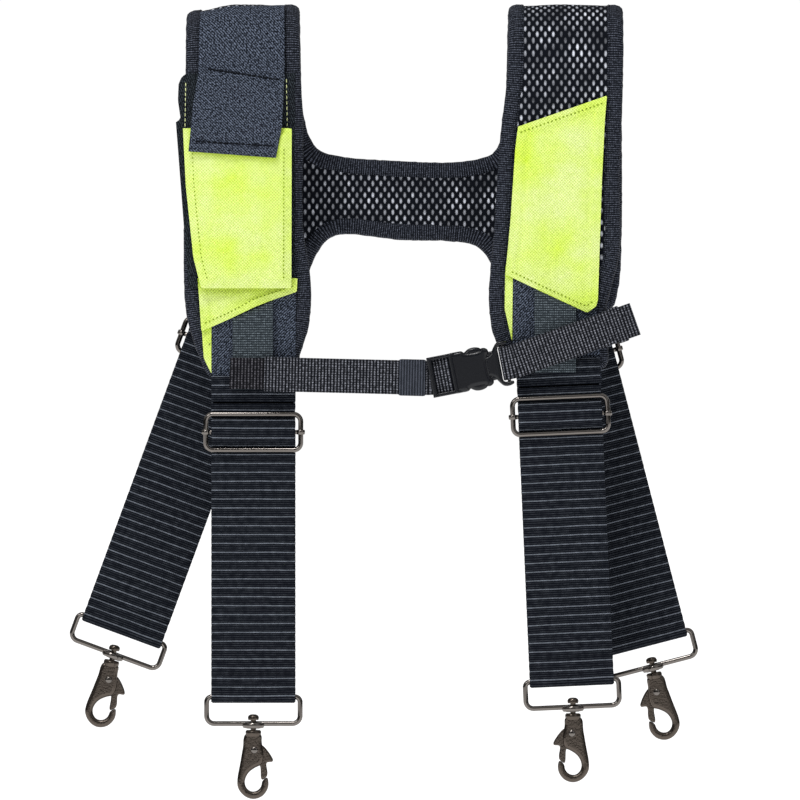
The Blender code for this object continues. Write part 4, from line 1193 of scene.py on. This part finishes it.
# ---- metalwork -----------------------------------------------------------------------------------
def rounded_path(width, height, top_radius, low_radius, steps=8):
    """A rounded frame hanging from z = 0, as points in the XZ plane."""
    top, low = -top_radius, low_radius - height
    upper, lower = (top, top_radius), (low, low_radius)
    points = []
    for turn, (side, (z, radius)) in enumerate(((1, upper), (1, lower), (-1, lower), (-1, upper))):
        start = 90 - 90 * turn
        points += arc((side * (width / 2 - radius), z), radius, start, start - 90, steps)
    return points


def wire_frame(path, radius, sides=16):
    """A closed round wire through points in the XZ plane."""
    loop = np.array(path)
    ways = np.roll(loop, -1, axis=0) - np.roll(loop, 1, axis=0)
    ways /= np.linalg.norm(ways, axis=1)[:, None]
    points = []
    for (x, z), (wx, wz) in zip(loop, ways):
        for k in range(sides):
            angle = 2 * math.pi * k / sides
            across = radius * math.cos(angle)
            points.append((x + wz * across, radius * math.sin(angle), z - wx * across))
    return outward(mesh_of(points, tube_faces(len(loop), sides)))


def turned(profile, steps=32):
    """A solid turned about Z from (radius, height) points that start and end on the axis."""
    bm = bmesh.new()
    rings = []
    for radius, height in profile:
        angles = [2 * math.pi * k / steps for k in range(steps if radius > 0 else 1)]
        places = [(radius * math.cos(t), radius * math.sin(t), height) for t in angles]
        rings.append([bm.verts.new(place) for place in places])
    for above, below in zip(rings, rings[1:]):
        for k in range(steps):
            corners = [above[k % len(above)], above[(k + 1) % len(above)]]
            corners += [below[(k + 1) % len(below)], below[k % len(below)]]
            bm.faces.new(list(dict.fromkeys(corners)))
    return outward(finished(bm))


def room_inside(loop, normals, most):
    """How far each point of a loop can move inward before it meets the far side, up to a limit."""
    offsets = loop[None] - loop[:, None]
    ahead = np.einsum("abk,ak->ab", offsets, normals)
    radii = (offsets**2).sum(2) / (2 * np.maximum(ahead, 1e-9))
    radii[ahead < 1e-7] = most * 2
    return np.minimum(radii.min(1) * 0.9, most)


def rounded_plate(outline, thickness, radius, segments=4, spacing=0.0008, curved=True):
    """An outline in the XZ plane as a plate with rounded edges."""
    loop, _ = resampled(smooth(outline) if curved else outline, spacing)
    normals = inward(loop)
    furthest = radius + 0.0004
    normals = normals * (room_inside(loop, normals, furthest) / furthest)[:, None]
    half = thickness / 2
    rows = [(furthest, half)]
    for k in range(segments + 1):
        angle = math.pi / 2 * k / segments
        rows.append((radius * (1 - math.sin(angle)), half - radius * (1 - math.cos(angle))))
    rows += [(inset_by, -y) for inset_by, y in reversed(rows)]
    points = []
    for inset_by, y in rows:
        points += [(x, y, -down) for x, down in loop + normals * inset_by]
    return outward(mesh_of(points, tube_faces(len(rows), len(loop), True, False)))


def shifted(mesh, *offset):
    mesh.transform(Matrix.Translation(offset))
    return mesh


def ring_shape():
    wire = wire_frame(rounded_path(*RING_SIZE, *RING_CORNERS), WIRE)
    boss = [
        (0, 0.0019), (0.0050, 0.0019), (0.0061, 0.0014), (0.0065, 0.0004), (0.0065, -0.0006),
        (0.0060, -0.0016), (0.0048, -0.0019), (0, -0.0019),
    ]
    return joined([wire, shifted(turned(boss), 0, 0, -BOSS_DROP)])


def hook_shape():
    top = BOSS_DROP - 0.0063
    stem = [
        (0, -top + 0.0002), (0.0018, -top), (0.0029, -top - 0.0007), (0.0033, -top - 0.0018),
        (0.0031, -BOSS_DROP + 0.0031), (0.0016, -BOSS_DROP + 0.003), (0.0016, -BOSS_DROP - 0.0026),
        (0.0040, -BOSS_DROP - 0.0028), (0.0046, -BOSS_DROP - 0.0036), (0.0046, -0.0215),
        (0.0042, -0.0232), (0, -0.0236),
    ]
    body = rounded_plate(HOOK_EDGE, HOOK_THICKNESS, 0.0020)
    return joined([body, turned(stem)])


def rivet_shape():
    end = HOOK_THICKNESS / 2 + 0.0008
    profile = [(0, end), (0.0011, end - 0.0001), (0.0018, end - 0.0004), (0.0021, end - 0.0009)]
    profile += [(r, -z) for r, z in reversed(profile)]
    mesh = turned(profile, 20)
    mesh.transform(Matrix.Translation((RIVET.x, 0, -RIVET.z)) @ Matrix.Rotation(math.pi / 2, 4, "X"))
    return mesh


def slider_bar_shape():
    half = SLIDER_SIZE[0] / 2
    rod_profile = [
        (0, half), (0.0011, half), (0.0013, half - 0.0004), (0.0013, 0.0004 - half), (0, -half),
    ]
    eye_profile = [
        (0, 0.0014), (0.0021, 0.0014), (0.0025, 0.0010), (0.0025, -0.0010), (0.0021, -0.0014),
        (0, -0.0014),
    ]
    rod = turned(rod_profile, 16)
    rod.transform(Matrix.Rotation(math.pi / 2, 4, "Y"))
    eyes = [shifted(turned(eye_profile, 20), side * half, 0, 0) for side in (-1, 1)]
    return joined([rod, *eyes])


# ---- legs ----------------------------------------------------------------------------------------
def leg_world(place, lean):
    turned_back = Matrix.Rotation(math.pi if place[1] > 0 else 0, 4, "Z")
    return Matrix.Translation(place) @ Matrix.Rotation(math.radians(lean), 4, "Y") @ turned_back


def make_leg_webbing(name, world, length):
    """One leg's webbing in five pieces. Paths are (along, out), out being towards the wearer."""
    leg, drop = f"{name}_leg", f"{name}_drop"
    front_end = length - 0.0138
    back_end = length - 0.012
    back = 2 * RING_IN

    def place(along, across, out):
        return world @ Vector((across, out, -along))

    def webbing(suffix, path, body=None, nodes=(), shift=0.0):
        mesh = ribbon(path, LEG_WIDTH - 0.0006, LEG_WEBBING, place, 0.0013, 0.0003, shift)
        return add_object(f"{name}_webbing_{suffix}", mesh, "leg_webbing", "leg_webbing", body, nodes)

    front = webbing("front", [(-0.001, 0), (front_end, 0)], None, (f"{name}_leg_strap",))
    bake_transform(front)

    root = webbing("root", [(-0.016, -0.0004), (-0.006, 0), (0.0, 0)], shift=-0.016)
    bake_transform(root)

    path = [(front_end, 0), (length - 0.0065, -0.0001)]
    path += arc((length, RING_IN), LOOP_RADIUS, 270, 450, 12)
    path += [(length - 0.0065, back + 0.0001), (back_end, back)]
    webbing("fold", path, drop, (f"{name}_leg_loop",), front_end)

    rear = webbing("back", [(SLIDER_DROP, back), (back_end, back)], drop)
    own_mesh(rear)

    out = SLIDER_OUT + WIRE + GAP + LEG_WEBBING / 2
    low = LEG_WEBBING + GAP
    path = [(SLIDER_DROP + at, -(low + (out - low) * rise)) for at, rise in SLIDER_ARCH]
    webbing("turn", smooth(path, False, 4), f"{name}_adjuster", (f"{name}_slider_turn",), 0.004)


def make_leg_metal(name, world, length, hook_lean, trigger_right, shapes):
    at_slider = world @ Matrix.Translation((0, -SLIDER_OUT, -SLIDER_DROP))
    lift = at_slider @ Matrix.Translation((0, 0, SLIDER_SIZE[1] / 2))
    at_ring = world @ Matrix.Translation((0, RING_IN, -length))
    boss = (at_ring @ Matrix.Translation((0, 0, -BOSS_DROP))).translation
    lean = Matrix.Rotation(math.radians(hook_lean), 4, "Y")
    facing = Matrix.Rotation(0 if trigger_right else math.pi, 4, "Z")
    at_hook = Matrix.Translation(boss) @ lean @ facing @ Matrix.Translation((0, 0, BOSS_DROP))
    pieces = (
        ("slider_loop", "slider_frame", lift, "adjuster", "metal"),
        ("slider_pin", "slider_bar", at_slider, "adjuster", "metal"),
        ("ring_loop", "ring", at_ring, "link", "metal"),
        ("hook_casting", "hook_body", at_hook, "hook", "cast_metal"),
        ("hook_rivet", "gate_rivet", at_hook, "hook", "metal"),
        ("trigger_plate", "gate", at_hook, "trigger", "cast_metal"),
    )
    for piece, node, place, body, finish in pieces:
        mesh = shapes[piece].copy()
        mesh.transform(place)
        nodes = (f"{name}_{node}",)
        add_object(f"{name}_{piece}", mesh, finish, "metal", f"{name}_{body}", nodes, 45)


def make_legs():
    shapes = {
        "slider_loop": wire_frame(rounded_path(*SLIDER_SIZE, SLIDER_CORNER, SLIDER_CORNER), WIRE),
        "slider_pin": slider_bar_shape(),
        "ring_loop": ring_shape(),
        "hook_casting": hook_shape(),
        "hook_rivet": rivet_shape(),
        "trigger_plate": rounded_plate(GATE_EDGE, GATE_THICKNESS, 0.0006, 3, 0.0005),
    }
    for name, place, lean, length, hook_lean, trigger_right in LEGS:
        world = leg_world(place, lean)
        make_leg_webbing(name, world, length)
        make_leg_metal(name, world, length, hook_lean, trigger_right, shapes)


# ---- studio --------------------------------------------------------------------------------------
LENS = 500.0
SENSOR = 36.0
FRAME_WIDTH = 0.4704
CAMERA_DISTANCE = FRAME_WIDTH * LENS / SENSOR
CENTRE = Vector((-0.0028, 0, -0.2234))
LIGHTS_TARGET = Vector((0, 0, -0.22))
FLOOR_HEIGHT = -0.62
FLOOR_HALF = 60.0


def make_world():
    world = bpy.data.worlds.new("studio")
    bpy.context.scene.world = world
    world.use_nodes = True
    tree = world.node_tree
    background = tree.nodes["Background"]
    place = tree.nodes.new("ShaderNodeTexCoord").outputs["Generated"]
    split = tree.nodes.new("ShaderNodeSeparateXYZ")
    tree.links.new(place, split.inputs["Vector"])

    def graded(socket, stops):
        ramp = tree.nodes.new("ShaderNodeValToRGB")
        tree.links.new(socket, ramp.inputs["Fac"])
        elements = ramp.color_ramp.elements
        for position, _ in stops[2:]:
            elements.new(position)
        for element, (position, level) in zip(elements, stops):
            element.position = position
            element.color = (level, level, level, 1)
        return ramp.outputs["Color"]

    height = split.outputs["Z"]
    behind = graded(height, ((0.0, 1.0), (0.30, 1.0), (0.45, 0.4), (1.0, 0.5)))
    before = graded(height, ((0.0, 0.04), (0.10, 0.04), (0.30, 0.22), (0.70, 0.55), (1.0, 0.6)))
    mixed = tree.nodes.new("ShaderNodeMix")
    mixed.data_type = "RGBA"
    tree.links.new(graded(split.outputs["Y"], ((0.88, 0.0), (0.97, 1.0))), mixed.inputs["Factor"])
    tree.links.new(before, mixed.inputs[6])
    tree.links.new(behind, mixed.inputs[7])
    tree.links.new(mixed.outputs[2], background.inputs["Color"])
    background.inputs["Strength"].default_value = 1.02


def softbox(name, place, size, power):
    light = bpy.data.lights.new(name, "AREA")
    light.shape = "RECTANGLE"
    light.size, light.size_y = size
    light.energy = power
    obj = linked(name, light)
    obj.location = place
    obj.rotation_euler = (LIGHTS_TARGET - Vector(place)).to_track_quat("-Z", "Y").to_euler()


def make_studio():
    make_world()
    signs = ((-1, -1), (1, -1), (1, 1), (-1, 1))
    corners = [(x * FLOOR_HALF, y * FLOOR_HALF, FLOOR_HEIGHT) for x, y in signs]
    floor = linked("floor", mesh_of(corners, [(0, 1, 2, 3)]))
    pale = Finish("floor", (0.9, 0.9, 0.9), 0.9)
    pale.shader.inputs["Emission Color"].default_value = (1, 1, 1, 1)
    pale.shader.inputs["Emission Strength"].default_value = 0.75
    floor.data.materials.append(pale.material)
    softbox("key", (-0.35, -0.85, 1.35), (0.5, 0.4), 15)
    softbox("fill", (1.3, -1.5, 0.3), (0.9, 0.9), 1.5)
    softbox("front", (-0.9, -1.5, 0.75), (0.7, 0.5), 6.5)
    lens = bpy.data.cameras.new("camera")
    lens.lens = LENS
    lens.sensor_width = SENSOR
    lens.clip_end = 200
    camera = linked("camera", lens)
    camera.location = CENTRE - Vector((0, CAMERA_DISTANCE, 0))
    camera.rotation_euler = (math.pi / 2, 0, 0)
    bpy.context.scene.camera = camera
    bpy.context.scene.view_settings.view_transform = "Standard"


make_yoke()
make_panels()
make_rail("left_rail_webbing", LEFT_RAIL, (0.1957, 0.1853), "left_rail")
make_rail("right_rail_webbing", RIGHT_RAIL, (0.1782, 0.1894), "right_rail")
make_pocket()
make_left_chest_strap()
make_right_chest_strap()
make_buckle()
make_legs()
make_studio()
